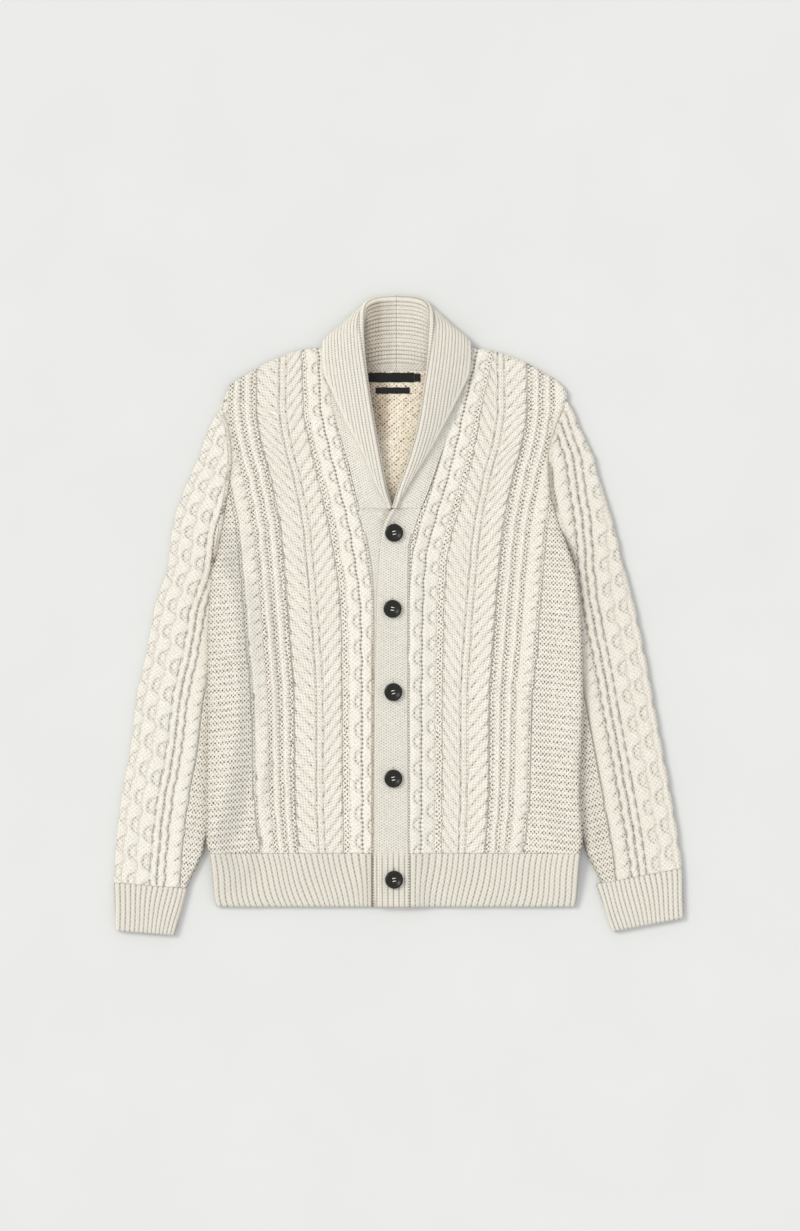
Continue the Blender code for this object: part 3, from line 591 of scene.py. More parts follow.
SLEEVE_CABLES = [(-8, 9.5, 0), (9.5, 26, 0.28), (26, 43, 0.56)]  # from, to, phase
SLEEVE_TURN = {  # how far the pattern is turned out over the fold, by height
    "left": curve([(-400, 0), (400, 0)], 1),
    "right": curve([
        (-400, 0), (0, 0), (19, 1), (69, 8), (143, 21), (217, 30), (269, 34), (400, 34),
    ], 1),
}


def sleeve_knit(side, along, d):
    """The pattern of a sleeve at distance d from its outer fold. The cables come last, each over
    the one before it, so that a strand bulges into the next column."""
    sign = SIDES[side]
    rows = courses(along)
    drawn = rows / ROWS_DRAWN
    knit = plain(d, along)
    d = d + 0.5 * wander(d, along, 50) + SLEEVE_TURN[side](along)
    # Each column below gets painted shade in its gaps and grooves.
    moss(knit, d > 82.5, d, along)
    twist = 0.9 * np.sin(rows * 2 * math.pi / 6.4)
    for low, high, way in ((44.5, 53, 1), (54, 62.5, -1)):
        across = (d - low - way * twist) / (high - low) * 2 - 1
        layer(knit, np.abs(across) < 1, 1.4 * dome(across), across * 0.8, drawn)
    right = -sign * (d - 72.3) / 8.6
    high, groove = rope(right, rows / 6.4)
    hollow, purl = 0.12 * groove, 0.8 * groove
    layer(knit, np.abs(right) < 1.05, 1.2 * high, right * 1.7, drawn, hollow=hollow, purl=purl)
    for at, strength, way in ((43.9, 0.5, 1), (53.4, 0.9, 0), (63, 0.8, -1), (81.9, 0.7, 0)):
        line_of_gaps(knit, d - at - way * twist, strength, 1)
    for low, high, lag in SLEEVE_CABLES[::sign]:
        wide = high - low
        right, phase = -sign * ((d - low) / wide * 2 - 1), waves(along) + lag
        wave_cable(knit, right, wide, phase, drawn, 0.86, 1.25, 0.3, (0.1, 0.1), (0.45, 0.25))
    return knit


def sleeve(side):
    sign = SIDES[side]
    cuff_top, _, slope = SLEEVE_ENDS[side]
    start = np.linspace(cuff_top, ARMHOLE - 5, 430)[:, None]
    share = ease((ARMHOLE - start) / 120)
    out = sleeve_out[side](start)
    room = sign * (out - sleeve_in(side, start))
    for _ in range(12):
        room = sign * (out - sleeve_in(side, start - share * slope * room))
    room = np.maximum(room, 1)
    ring = distance, _, aside, up = ring_points(room, 1.3, 84)
    y = start - share * slope * distance
    knit = sleeve_knit(side, start + 0 * distance, distance)
    # Painted shade over the whole right sleeve.
    knit["hollow"] += 0.12 * (side == "right")
    hidden = (room - distance < 4) | (up < -0.5)
    knit["height"] = np.where(hidden, 0.3, knit["height"])
    for mark in MARKS:
        knit[mark] = np.where(up < -0.5, 0, knit[mark])
    # Painted shade along the inner fold, where the sleeve goes under the body.
    by_fold = bell((room - distance) / 4) * (distance > 4)
    knit["hollow"] += 0.42 * by_fold * ease((ARMHOLE - 14 - start) / 20)
    raised = knit["height"] * unit((ARMHOLE - 3 - start) / 3) ** 0.5 - 1.2 * np.abs(aside)
    sewn = ease((start - 60) / 30) * (aside < -0.05) * (up > 0.05)
    inset = WALL * np.minimum(1, room / 14)
    inside = np.clip(distance, inset + 1.2, np.maximum(room - inset - 1.2, inset + 1.3))
    name = f"sleeve_{side}_knit"
    return pressed_tube(name, side, out, y, ring, raised, inside, knit, 8, sewn)


elbow = float(sleeve_out["right"](0) - sleeve_in("right", 0))
print("a sleeve is", round(elbow), "mm wide at the elbow")

# %% [markdown]
# ## Ribbed hems, cuffs and bands
# Rib knitting pulls together like a bellows. Each rib is a rounded ridge with a furrow between,
# and it leans and breathes a little along its length, so the ridges are never ruler straight.

# %% Ribs
RIB, CUFF_RIB = 6.9, 5.9  # the widths of one rib


def rib_knit(u, rows, height, second=0.5):
    """Rounded ribs, one for each whole u, with a fainter line along the middle of each."""
    f = u % 1
    furrow, middle = bell(np.minimum(f, 1 - f) / 0.13), second * bell((f - 0.5) / 0.12)
    # The furrows and middle lines get painted shade, and a row of dots of painted shade.
    return {
        "height": height * (dome(2 * f - 1) - 0.2 * middle), "hollow": 0.95 * furrow + 0.45 * middle,
        "dotted": 0.4 * furrow + 0.4 * middle, "purl": 0 * f,
        "uv": stack(2 * u, rows / ROWS_DRAWN + 0.37 * np.round(2 * u)),
    }


def hem(side):
    sign = SIDES[side]
    count, lean = {"left": (210, 2.4), "right": (222, 1.5)}[side]
    t = np.linspace(0, 1, 30)[:, None]
    s = np.linspace(0, 1, count)[None, :]
    y = HEM_BOTTOM + (BODY_BOTTOM - 2 * CLEAR - HEM_BOTTOM) * t + 0 * s
    a, b = neck_seam[side](y) + sign * CLEAR, body_edge[side](y)
    x = a + (b - a) * s
    ribs = round(float(abs(b - a)[10, 0]) / RIB)
    sway = 0.14 * np.sin(5 * t + 5 * s) + 0.12 * np.sin(23 * s)
    sway = sway - lean * (t - 0.5) * np.sin(math.pi * s ** 0.8)
    knit = rib_knit(s * ribs + sway * unit(12 * s * (1 - s)), courses(y), 0.9)
    knit["height"] = 0.4 + (knit["height"] - 0.4) * ease((BODY_BOTTOM - y) / 3)
    if side == "left":
        # Painted shade beside the free edge of the band that laps the left hem.
        away = x - neck_seam[side](y)
        knit["hollow"] += 0.2 * bell(away / 9) + 1.2 * bell(away / 1.3)
    out = np.minimum(sign * (b - x), t * 66)
    floor = front_floor(x, y)
    over = floor + WALL + knit["height"] + 0.25 * wander(x, y, 70) - droop(out, 3, 1.8)
    return laid_wall(f"hem_{side}_rib", x, y, floor, over, knit)


def cuff(side):
    top_y, end_y, slope = SLEEVE_ENDS[side]
    start = np.linspace(end_y, top_y - 2 * CLEAR, 26)[:, None]
    share = (start - end_y) / (top_y - end_y)
    out = sleeve_out[side](start)
    inner = sleeve_in(side, end_y - 8) * (1 - share) + sleeve_in(side, top_y - 8) * share
    room = np.abs(out - inner)
    ring = distance, _, aside, up = ring_points(room, 1, int(room.max() - 7))
    ribs = round(float(room.mean()) / CUFF_RIB)
    across = distance / room
    u = ribs * (0.88 * across + 0.12 * across ** 2) + 0.12 * np.sin(start / 17 + distance / 13)
    knit = rib_knit(u, courses(start + 0 * distance), 1.1, 0.3)
    edge = unit((start - end_y) / 2.5) ** 0.5
    raised = np.where(up < -0.5, 0, knit["height"] * edge) - 0.8 * np.abs(aside)
    inside = np.clip(distance, 4.6, room - 4.6)
    y = start - slope * distance
    return pressed_tube(f"cuff_{side}_rib", side, out, y, ring, raised, inside, knit, 25)


BUTTONS = {1: (-6, 102), 2: (-8, 8), 3: (-7, -95), 4: (-7, -202), 5: (-6, -327)}
band_edge = curve([  # the free edge of the top band
    (133, -8), (121, -15), (112, -18.6), (93, -22), (60, -25), (19, -27), (-105, -30), (-229, -31),
    (-328, -31), (-350, -30), (-361, -26),
], 1)
STAND_END = {  # x and z of the collar's seam and roll where the bands meet it
    "left": (-50, -9, 5.6, 6), "right": (28, -7, 9.4, 9.8),
}


def stand_height(side, x):
    """Height of the collar's outer face where the bands meet it."""
    seam, roll, low, high = STAND_END[side]
    t = unit((x - seam) / (roll - seam))
    return COLLAR_WALL / 2 + low + (high - low) * (1 - (1 - t) ** 1.5)


def band(side):
    """The top band on the right front, and the plain one that it laps."""
    over = side == "right"
    t = np.linspace(0, 1, 330 if over else 60)[:, None]
    y = HEM_BOTTOM + (V_POINT - 2 * CLEAR - HEM_BOTTOM) * t
    s = np.linspace(0, 1, 46 if over else 30)[None, :]
    seam = neck_seam[side](y) - SIDES[side] * CLEAR
    free = band_edge(y) if over else 5 - 14 * ease((y - 20) / 112)
    x, y = free + (seam - free) * s, y + 0 * s
    base = BACK_WALL + SEAM + (BAND_WALL + SEAM + 0.4 if over else 0)
    flat_top = base + BAND_WALL
    knit = plain(x, y)
    knit["purl"] *= 0.3
    # Darker towards the hem, through the painted shade mark.
    knit["hollow"] += 0.08 * ease((60 - y) / 80)
    ribs = rib_knit((x - seam) / RIB, courses(y), 0.5)
    hem_part = ease((BODY_BOTTOM + 8 - y) / 16)
    for key in ("height", *MARKS):
        knit[key] = knit[key] * (1 - hem_part) + ribs[key] * hem_part
    knit["uv"] = stack((x - seam) / (2 * WALE), courses(y) / FINE_ROWS)
    knit["height"] += 0.2 * wander(x, y, 60)
    line_of_gaps(knit, x - seam + 1.5 * SIDES[side], y < V_POINT - 30, 0.9)
    knit["height"] *= 1 - ease((y - 118) / 12)
    meets = ease((y - 96) / 36) * (1 if over else ease((band_edge(y) - x) / 8))
    up = (stand_height(side, x) - flat_top) * meets
    if over:
        up = up + 2.4 * bell((x - free - 3.5) / 3) * ease((y - 84) / 44)
        # Painted shadow of the collar's roll on the band, beside the V.
        knit["hollow"] += 0.3 * bell((x - free - 13) / 6.5) * ease((y - 92) / 36)
        # Painted shade in the slit of each buttonhole, above its button.
        for button_x, button_y in BUTTONS.values():
            knit["hollow"] += bell((x - button_x) / 0.9) * bell((y - button_y - 12.6) / 2.4)
    else:
        # Painted shadow of the top band's free edge on the plain band.
        knit["hollow"] += 0.5 * bell((band_edge(y) - 2 - x) / 4.5) * ease((y - 96) / 26)
    drop = droop(np.minimum(np.abs(x - free), y - HEM_BOTTOM), 2.6, 1.3)
    return laid_wall(f"band_{side}_rib", x, y, base, flat_top + knit["height"] + up - drop, knit)


print("hem ribs:", round(204 / RIB), "a side")

# %% [markdown]
# ## The back
# Only the inside of the back shows, in the V of the neck. There the cables read backwards, as
# soft painted shade over rows of purl bumps. Its underside lies on the table and stays plain.

# %% Back
def back_top(x):
    """The back's upper edge: between the shoulders, the collar's seam is its neckline."""
    away = np.abs(x - COLLAR_AXIS)
    neck = straight([section[1] for section in COLLAR_BACK[:6]], 1)(away) + 0.2
    line = np.where(x < COLLAR_AXIS, *(shoulder[side](np.maximum(away, 60)) - 1 for side in SIDES))
    return np.minimum(neck + np.maximum(0, away - 72) * 3, line)


def spaced(*parts):
    """Places from 0 to 1 in parts, each with its end and a number of places of its own."""
    found, start = [], 0
    for end, count in parts:
        found.append(np.linspace(start, end, count, endpoint=False))
        start = end
    return np.concatenate([*found, [1]])


def back_panel(name, low, high, rows, knit_of):
    """Its points are close together where it shows, and far apart where it is covered."""
    s, t = spaced((0.34, 22), (0.6, 89), (1, 22))[None, :], spaced(*rows)[:, None]
    y = low + (high - low) * t + 0 * s
    for _ in range(8):
        left, right = body_edge["left"](y) + 1, body_edge["right"](y) - 1
        x = left + (right - left) * s
        y = low + (np.minimum(high, back_top(x) - SEAM) - low) * t
    knit = knit_of(x, y)
    floor = ground(x, y)
    return laid_wall(name, x, y, floor, floor + BACK_WALL + knit["height"], knit, (6, 6))


def purl_side(x, y):
    """The wrong side of the cables: bumps in rows, under uneven painted shade."""
    knit = plain(x, y)
    swell = wander(x, y, 21)
    fold = bell((x + 4 + (y - 240) * 0.02) / 7) * ease((y - 160) / 60)
    knit["height"] = np.minimum(0.35 + 0.2 * swell, 0.75)
    # Painted shadow from the collar's left roll, painted shade deepening towards the V, and a fold left
    # lighter.
    shade = 0.9 * ease((-7 - x) / 12) * ease((y - 200) / 40) + 1.1 * ease((176 - y) / 50)
    knit["hollow"] = np.clip(0.04 + shade + 0.14 * swell - 0.15 * fold, 0, 1.4)
    knit["purl"] = np.clip(0.42 + 0.6 * wander(x + 40, y, 11), 0, 1.1)
    return knit


def plain_rib(x, y):
    return rib_knit(x / RIB, courses(y), 0.2)


# %% [markdown]
# ## The shawl collar
# The collar is one long strip of rib. It stands up from the neck seam, rolls over and falls
# outwards in front, and at the back it lies folded with its inside showing. A table gives its
# neck seam, roll, belly and free edge at a few places round the neck, and the strip is drawn
# through them. Its ribs follow the roll, so they curve round the top of the neck by themselves.

# %% Collar
COLLAR_BACK = [  # lean in degrees, then (distance, y, height) of seam, roll, belly and edge
    (90, (0.01, 302.9, 2), (0.01, 394.5, 4.6), (0.01, 360, 1.8), (0.01, 336, 1.8)),
    (90, (15.5, 302.9, 2), (17.4, 393.5, 4.8), (20.5, 360, 1.8), (22.9, 336, 1.8)),
    (80, (34.1, 302.9, 2), (31.6, 390.4, 6.5), (42, 364, 2.2), (45.3, 337, 1.8)),
    (55, (50.2, 305.4, 2.2), (39.7, 384.4, 8.4), (58, 371.6, 4.6), (65.1, 338, 2.2)),
    (25, (62.6, 311.6, 3), (42.8, 374.9, 10.8), (72, 361, 8.6), (81.2, 338, 5)),
    (-15, (72, 322, 5.6), (43.4, 360, 17.6), (80, 350, 15.5), (91, 337, 11.5)),
    (-50, (76, 306, 5.6), (42.2, 338.9, 18), (70.1, 332, 19.5), (92, 322, 13.8)),
    (-80, (83, 286, 5.6), (39.3, 309.1, 17.4), (63.9, 304, 19.5), (90, 300, 13.4)),
    (-90, (80, 261, 5.6), (34.7, 275.7, 16.6), (55.2, 271, 18.5), (79, 275, 13.2)),
]
COLLAR_FRONT = {
    "left": [
        (-90, (73, 233, 5.6), (28.5, 237.2, 15.6), (44, 233.5, 17.5), (62, 238, 13.2)),
        (-90, (62, 195, 5.6), (21.1, 196.3, 13.6), (30.4, 193.8, 16.6), (42, 202, 13.2)),
        (-90, (52, 154, 5.6), (13.2, 155.4, 10.6), (18.5, 155.5, 13.8), (25, 162, 12.8)),
        (-90, (47, 132.1, 5.6), (6, 132.4, 8.6), (7.5, 133, 11), (9, 134.5, 10.6)),
    ],
    "right": [
        (-90, (68, 233, 5.8), (28.5, 237.2, 15.8), (44, 233.5, 17.8), (60, 238, 13.6)),
        (-90, (54, 195, 7), (17.4, 196.3, 14.6), (28, 193.8, 17.4), (40, 202, 14.6)),
        (-90, (40, 154, 8.8), (3.1, 155.4, 13.6), (8.5, 155.5, 16.8), (15, 162, 15.8)),
        (-90, (31, 132.1, 9.4), (-4, 132.4, 12.4), (-2.5, 133, 13.8), (-1, 134.5, 13)),
    ],
}
COLLAR_BEND = 2.6  # radius of the roll
COURSE_WIDTH = 2.6  # one row of knitting, round the collar


def grid_normals(points):
    """At each point of a grid, the mean of the normals of the cells beside it."""
    cells = np.cross(points[1:, 1:] - points[:-1, :-1], points[:-1, 1:] - points[1:, :-1])
    cells /= np.maximum(np.linalg.norm(cells, axis=2), 1e-9)[:, :, None]
    cells = np.pad(cells, ((1, 1), (1, 1), (0, 0)), mode="edge")
    found = cells[1:, 1:] + cells[:-1, 1:] + cells[1:, :-1] + cells[:-1, :-1]
    return found / np.maximum(np.linalg.norm(found, axis=2), 1e-9)[:, :, None]


def collar(side, rows=130, stand_steps=96, fall_steps=62):
    sign = SIDES[side]
    sections = COLLAR_BACK + COLLAR_FRONT[side]
    place = np.array([[(sign * d, y, z) for d, y, z in section[1:]] for section in sections])
    place[5:, 0, 0] -= sign * (COLLAR_WALL / 5 + CLEAR)
    rolls = place[:, 1]
    length = np.concatenate([[0], np.cumsum(np.linalg.norm(np.diff(rolls, axis=0), axis=1))])
    at = np.linspace(0, length[-1], rows)[:, None]

    def smooth(values):
        return curve(list(zip(length, values)), 1)(at[:, 0])

    lean = np.radians(smooth([section[0] for section in sections]))[:, None]
    seams, rolls, bellies, edges = (stack(*map(smooth, place[:, k].T)) for k in range(4))
    along = np.gradient(rolls, axis=0)
    along[:, 2] = 0
    along[0] = (sign, 0, 0)
    along /= np.linalg.norm(along, axis=1)[:, None]
    level = np.cross(along, (0, 0, 1)) * -sign
    inward = -np.cos(lean) * level + np.sin(lean) * np.array((0, 0, 1))
    across = np.cross(along, inward) * sign
    centre = rolls + across * COLLAR_BEND
    foot, start = centre + inward * COLLAR_BEND, centre - inward * COLLAR_BEND
    steep = np.interp(lean, (-1.5, -0.3, 1.5), (1.5, 1.5, 5))
    t = np.linspace(0, 1, stand_steps, endpoint=False)[None, :]
    stand = seams[:, None] * (1 - t)[..., None] + foot[:, None] * t[..., None]
    stand[:, :, 2] = seams[:, 2:] + (foot - seams)[:, 2:] * (1 - (1 - t) ** steep)
    turn = np.linspace(0, math.pi, 9)[None, :, None]
    bend = centre[:, None] + COLLAR_BEND * (
        inward[:, None] * np.cos(turn) - across[:, None] * np.sin(turn)
    )
    t = np.linspace(0, 1, fall_steps + 1)[None, 1:, None]
    fall = start[:, None] * (1 - t) ** 2 + bellies[:, None] * (2 * t * (1 - t)) + edges[:, None] * t * t
    middle = np.concatenate([stand, bend, fall], 1)
    normal = grid_normals(middle)
    inside = normal * (1 if np.sum(normal[:, 0] * inward) > 0 else -1)
    middle[:, :, 0] += COLLAR_AXIS
    # The ribs are counted from the roll, so they run along it.
    steps = np.linalg.norm(np.diff(middle, axis=1), axis=2)
    run = np.concatenate([np.zeros((rows, 1)), np.cumsum(steps, 1)], 1)
    run -= run[:, stand_steps + 4][:, None]
    stand = 1 - ease((run + 8) / 6)
    pitch = 4.2 + 0.8 * stand * ease((130 - at) / 20)
    knit = rib_knit(run / pitch + 0.5, at / COURSE_WIDTH + 0 * run, 0.7, 0)
    # They fade out on the plain strip beside the V, along the neck seam and at the free edge.
    strip = stand * ease((at - 110) / 30)
    allowance = (1 - ease((run - run[:, :1] - 7) / 3)) * stand
    free_edge = 1 - ease((run[:, -1:] - run - 3) / 3)
    smooth_part = unit(strip + allowance + free_edge)
    knit["height"] = knit["height"] * (1 - smooth_part) + 0.4 * smooth_part
    for mark, share in (("hollow", 0.55), ("dotted", 1.7)):
        knit[mark] *= share * (1 - smooth_part)
    under_roll = stand * (1 - strip)
    # Painted shadow of the left roll across the inside of the collar.
    if side == "left":
        inwards = -middle[:, :, 0]
        shade = 0.4 * ease((inwards - 1) / 12) + 0.4 * ease((inwards - 17) / 10)
        knit["hollow"] += under_roll * shade
    # Painted shade over the collar: a little on the left half, more on the right, none on the strip by
    # the V.
    knit["hollow"] += {"left": 0.02, "right": 0.11}[side] * (1 - strip)
    knit["height"] += 0.3 * bell(at / 2)
    knit["purl"] = 0.25 * strip + 0.2 * allowance + 0.15 * under_roll
    knit["uv"] = stack(run / (2 * WALE), at / COURSE_WIDTH / FINE_ROWS)
    free = unit((run[:, -1:] - run) / 2.2)
    half = COLLAR_WALL / 2 * (0.55 + 0.45 * np.sqrt(1 - (1 - free) ** 2))[..., None]
    ridge = (knit["height"] - 0.4)[..., None]
    top = middle + inside * (half + ridge)
    under = middle - inside * (half + 0.3 * ridge)
    for face in (top, under):
        face[0, :, 0] = COLLAR_AXIS + sign * CLEAR
        face[-1, :stand_steps, 1] = V_POINT
        face[-1, stand_steps:, 1] = np.maximum(face[-1, stand_steps:, 1], V_POINT)
    return closed_wall(f"collar_{side}_rib", top, under, knit, (1, 1))


print("collar sections:", len(COLLAR_BACK) + 4)

# %% [markdown]
# ## Cotton yarn
# The real one is an undyed cotton yarn, spun thick and knitted on a coarse gauge, so it is matt,
# a little fuzzy, and warm white. The shade in its gaps is painted on, in a soft tan. The
# material draws the V shaped stitches as bump from the stitch map, and the gaps as dark dots
# of painted shade.

# %% Material helpers
def linear(code):
    """A linear colour from an sRGB hex value."""
    parts = [int(code[i : i + 2], 16) / 255 for i in (1, 3, 5)]
    return [v / 12.92 if v <= 0.04045 else ((v + 0.055) / 1.055) ** 2.4 for v in parts] + [1]


def fill(socket, value):
    """Links a socket to an output of another node, or gives it a constant or a hex colour."""
    if isinstance(value, bpy.types.NodeSocket):
        socket.id_data.links.new(value, socket)
    elif value is not None:
        socket.default_value = linear(value) if isinstance(value, str) else value


def add(tree, kind, *values, **settings):
    """Adds a node and gives its first output. Values fill its sockets in order, and None leaves
    one as it is. Settings are its fields and named sockets."""
    node = tree.nodes.new("ShaderNode" + kind)
    for key, value in settings.items():
        if hasattr(node, key):
            setattr(node, key, value)
        else:
            fill(node.inputs[key.replace("_", " ")], value)
    for socket, value in zip(node.inputs, values):
        fill(socket, value)
    return node.outputs[0]


def calc(tree, operation, *values, kind="Math", **settings):
    return add(tree, kind, *values, operation=operation, **settings)


vector = partial(calc, kind="VectorMath")


def blend(tree, share, low, high):
    """A colour between two others, by a share that varies over the surface."""
    mixed = add(tree, "Mix", share, data_type="RGBA").node
    fill(mixed.inputs[6], low)
    fill(mixed.inputs[7], high)
    return mixed.outputs[2]


def shader_of(name, roughness, **inputs):
    made = bpy.data.materials.new(name)
    made.use_nodes = True
    shader = made.node_tree.nodes["Principled BSDF"]
    for key, value in {"Roughness": roughness, **inputs}.items():
        fill(shader.inputs[key.replace("_", " ")], value)
    return made, made.node_tree, shader


def finish(shader, colour, relief=None, depth=0.1):
    """Gives a shader its colour, and a relief whose depth is in millimetres."""
    fill(shader.inputs["Base Color"], colour)
    if relief is not None:
        bump = add(shader.id_data, "Bump", Distance=depth * MM, Height=relief)
        fill(shader.inputs["Normal"], bump)


def spots(tree, place, at):
    """A dot at one place in every cell of the stitch map: 1 in its middle, fading to 0."""
    moved = vector(tree, "ADD", place, (0.5 - at[0], 0.5 - at[1], 0))
    centred = vector(tree, "SUBTRACT", vector(tree, "FRACTION", moved), (0.5, 0.5, 0))
    scaled = vector(tree, "MULTIPLY", centred, (4, 3.1, 0))
    length = vector(tree, "LENGTH", scaled).node.outputs["Value"]
    return add(tree, "MapRange", length, 0.9, 0.35, 0, 1)


def knitted(name, light, warm, shade_colour, stitch_depth):
    """Cotton yarn knitted by machine: light on top of the stitches, with painted tan shade
    between them.
    """
    made, tree, shader = shader_of(
        name, 0.92, IOR=1.5, Specular_IOR_Level=0.2, Sheen_Weight=0.15, Sheen_Roughness=0.6,
    )
    hollow, dotted, purl = (
        add(tree, "Attribute", attribute_name=mark).node.outputs["Fac"] for mark in MARKS
    )
    # No two stitches are quite alike, so the stitch map is bent a little.
    bend = add(tree, "TexNoise", Scale=140, Detail=1).node.outputs["Color"]
    bend = vector(tree, "SUBTRACT", bend, (0.5, 0.5, 0.5))
    bend = vector(tree, "MULTIPLY", bend, (0.7, 0.6, 0))
    place = vector(tree, "ADD", add(tree, "UVMap", uv_map="stitches"), bend)
    _, v, _ = add(tree, "SeparateXYZ", place).node.outputs
    # Gaps between stitches, as dots of painted shade: a field of them in a zigzag, or one a row
    # along a furrow.
    zigzag = calc(tree, "MAXIMUM", spots(tree, place, (0, 0)), spots(tree, place, (0.5, 0.5)))
    in_line = calc(tree, "ABSOLUTE", calc(tree, "WRAP", v, 0.5, -0.5))
    in_line = add(tree, "MapRange", in_line, 0.34, 0.1, 0, 1)
    field = calc(tree, "MULTIPLY", zigzag, calc(tree, "MULTIPLY_ADD", purl, 0.95, 0.22))
    gaps = calc(tree, "MAXIMUM", field, calc(tree, "MULTIPLY", in_line, dotted))
    chance = add(tree, "TexNoise", Scale=260, Detail=1)
    chance = add(tree, "MapRange", chance, 0.32, 0.68, 0.4, 1.3)
    gaps = calc(tree, "MULTIPLY", gaps, chance, use_clamp=True)
    # The painted shade mark and the gap dots are mixed towards the shade colour.
    shadow = calc(tree, "MULTIPLY_ADD", hollow, 0.5, gaps, use_clamp=True)
    grain = add(tree, "TexNoise", Scale=22, Detail=3, Roughness=0.6)
    fleck = add(tree, "TexNoise", Scale=300, Detail=3, Roughness=0.7)
    tones = blend(tree, shadow, blend(tree, grain, light, warm), shade_colour)
    uneven = add(tree, "MapRange", fleck, 0.3, 0.7, 0.7, 1.3)
    relief = calc(tree, "MULTIPLY_ADD", gaps, -1.4, calc(tree, "MULTIPLY", fleck, 0.6))
    finish(shader, vector(tree, "SCALE", tones, Scale=uneven), relief, stitch_depth)
    return made


cotton = knitted("cotton_yarn_cable_knit", "#e6e2d6", "#e1dacb", "#6b5026", 0.6)
cotton_rib = knitted("cotton_yarn_rib_knit", "#e2dfd3", "#dcd6c8", "#6b5026", 0.45)
cotton_back = knitted("cotton_yarn_purl_side", "#e9e1d0", "#e2d4ba", "#6e4c22", 0.6)
print("materials:", cotton.name, cotton_rib.name, cotton_back.name)


def stand_for(piece):
    """A piece is named by the node that it stands for, and by what it is made of."""
    node, made_of = piece.name.rsplit("_", 1)
    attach(piece, "root")
    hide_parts(node)


def dress(piece, cloth, flat, area, *rests_on, with_pieces=()):
    piece.data.materials.append(cloth)
    stand_for(piece)
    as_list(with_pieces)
    drawn = sum(face.area for face in piece.data.polygons) / 2
    print(f"{piece.name}: {len(piece.data.polygons)} faces, cloth {drawn:.3f} m2, cut {area:.3f} m2")


back = back_panel("back_knit", BODY_BOTTOM, BODY_TOP, ((0.67, 14), (1, 129)), purl_side)
dress(back, cotton_back, (0.464, 0.628), 0.27, "sleeve_left", "sleeve_right")
back = back_panel("back_hem_rib", HEM_BOTTOM, BODY_BOTTOM - SEAM, ((0.99, 6), (1, 2)), plain_rib)
dress(back, cotton_rib, (0.456, 0.066), 0.0295, "back")
for side in SIDES:
    for build, cloth, flat, area, rests_on in (
        (front, cotton, (0.21, 0.628), 0.108, "back"),
        (hem, cotton_rib, (0.20, 0.066), 0.0128, "back_hem"),
        (sleeve, cotton, (0.27, 0.60), 0.115, "back"),
        (cuff, cotton_rib, (0.17, 0.061), 0.0098, f"sleeve_{side}"),
        (band, cotton_rib, (0.045, 0.493), 0.021, "back"),
        (collar, cotton_rib, (0.15, 0.33), 0.036, "back"),
    ):
        dress(build(side), cloth, flat, area, rests_on)

# %% [markdown]
# ## Buttons
# Horn or its imitation in urea is turned on a lathe: a thick rim, a shallow dish and four drilled
# holes. It is polished, so it shows the light as one soft streak. Cream thread crosses the holes.

# %% Buttons
BUTTON_RADIUS, BUTTON_THICKNESS = 11.2, 4.4
BUTTON_PROFILE = [  # (share of the radius, share of the thickness), from the middle of the top
    (0, 0.58), (0.2, 0.58), (0.42, 0.60), (0.56, 0.66), (0.63, 0.80), (0.70, 0.93), (0.78, 1),
    (0.87, 0.99), (0.94, 0.90), (0.985, 0.74), (1, 0.55), (0.985, 0.36), (0.92, 0.16), (0.82, 0.03),
    (0.7, 0), (0.35, 0), (0, 0),
]
HOLE = 1.75  # how far each hole's middle lies from the button's, along and across
BUTTON_TURNS = (12, -8, 15, 10, 8)  # degrees
BUTTON_BOTTOM = BACK_WALL + 2 * (SEAM + BAND_WALL) + 0.4 + 0.7 + SEAM
THREAD = [  # (along, up) of one strand
    (-HOLE, 0.3), (-HOLE, 2.6), (-1.2, 3.15), (0, 3.3), (1.2, 3.15), (HOLE, 2.6), (HOLE, 0.3),
]

horn, tree, shader = shader_of("polished_horn_black", 0.3, IOR=1.5, Specular_IOR_Level=0.3)
streaks = add(tree, "TexNoise", Scale=120, Detail=4, Distortion=1.5)
finish(shader, blend(tree, streaks, "#0c0e0a", "#1a1c16"))
thread, tree, shader = shader_of("cotton_sewing_thread", 0.8)
twist = add(tree, "TexWave", Scale=900, bands_direction="DIAGONAL")
finish(shader, blend(tree, twist, "#cfc4a8", "#f2ead6"))


def turned(name, profile, around):
    """A solid as from a lathe, whose profile starts and ends on its axis."""
    angles = np.linspace(0, 2 * math.pi, around, endpoint=False)
    rings = [(r * math.cos(a), r * math.sin(a), z) for r, z in profile[1:-1] for a in angles]
    points = [(0, 0, profile[0][1]), *rings, (0, 0, profile[-1][1])]
    at = numbered(np.reshape(rings, (-1, around, 3)), 1, True)
    first, last = at[0].tolist(), at[-1].tolist()
    faces = [[0, a, b] for a, b in zip(first, first[1:])]
    faces += grid_quads(at)[:, ::-1].tolist()
    faces += [[len(rings) + 1, b, a] for a, b in zip(last, last[1:])]
    piece = make_mesh(name, points, faces, len(faces))
    piece.data.materials.append(horn)
    return piece


def drilled(button, holes):
    """Cuts holes through a button, and leaves it as a plain mesh."""
    drills = []
    for x, y in holes:
        drill = turned("drill", [(0, 6), (1, 6), (1, -1), (0, -1)], 14)
        drill.location = (x * MM, y * MM, 0)
        cut = button.modifiers.new("hole", "BOOLEAN")
        cut.operation, cut.solver, cut.object = "DIFFERENCE", "EXACT", drill
        drills.append(drill)
    graph = bpy.context.evaluated_depsgraph_get()
    mesh = bpy.data.meshes.new_from_object(button.evaluated_get(graph))
    button.modifiers.clear()
    button.data = mesh
    for drill in drills:
        bpy.data.objects.remove(drill, do_unlink=True)


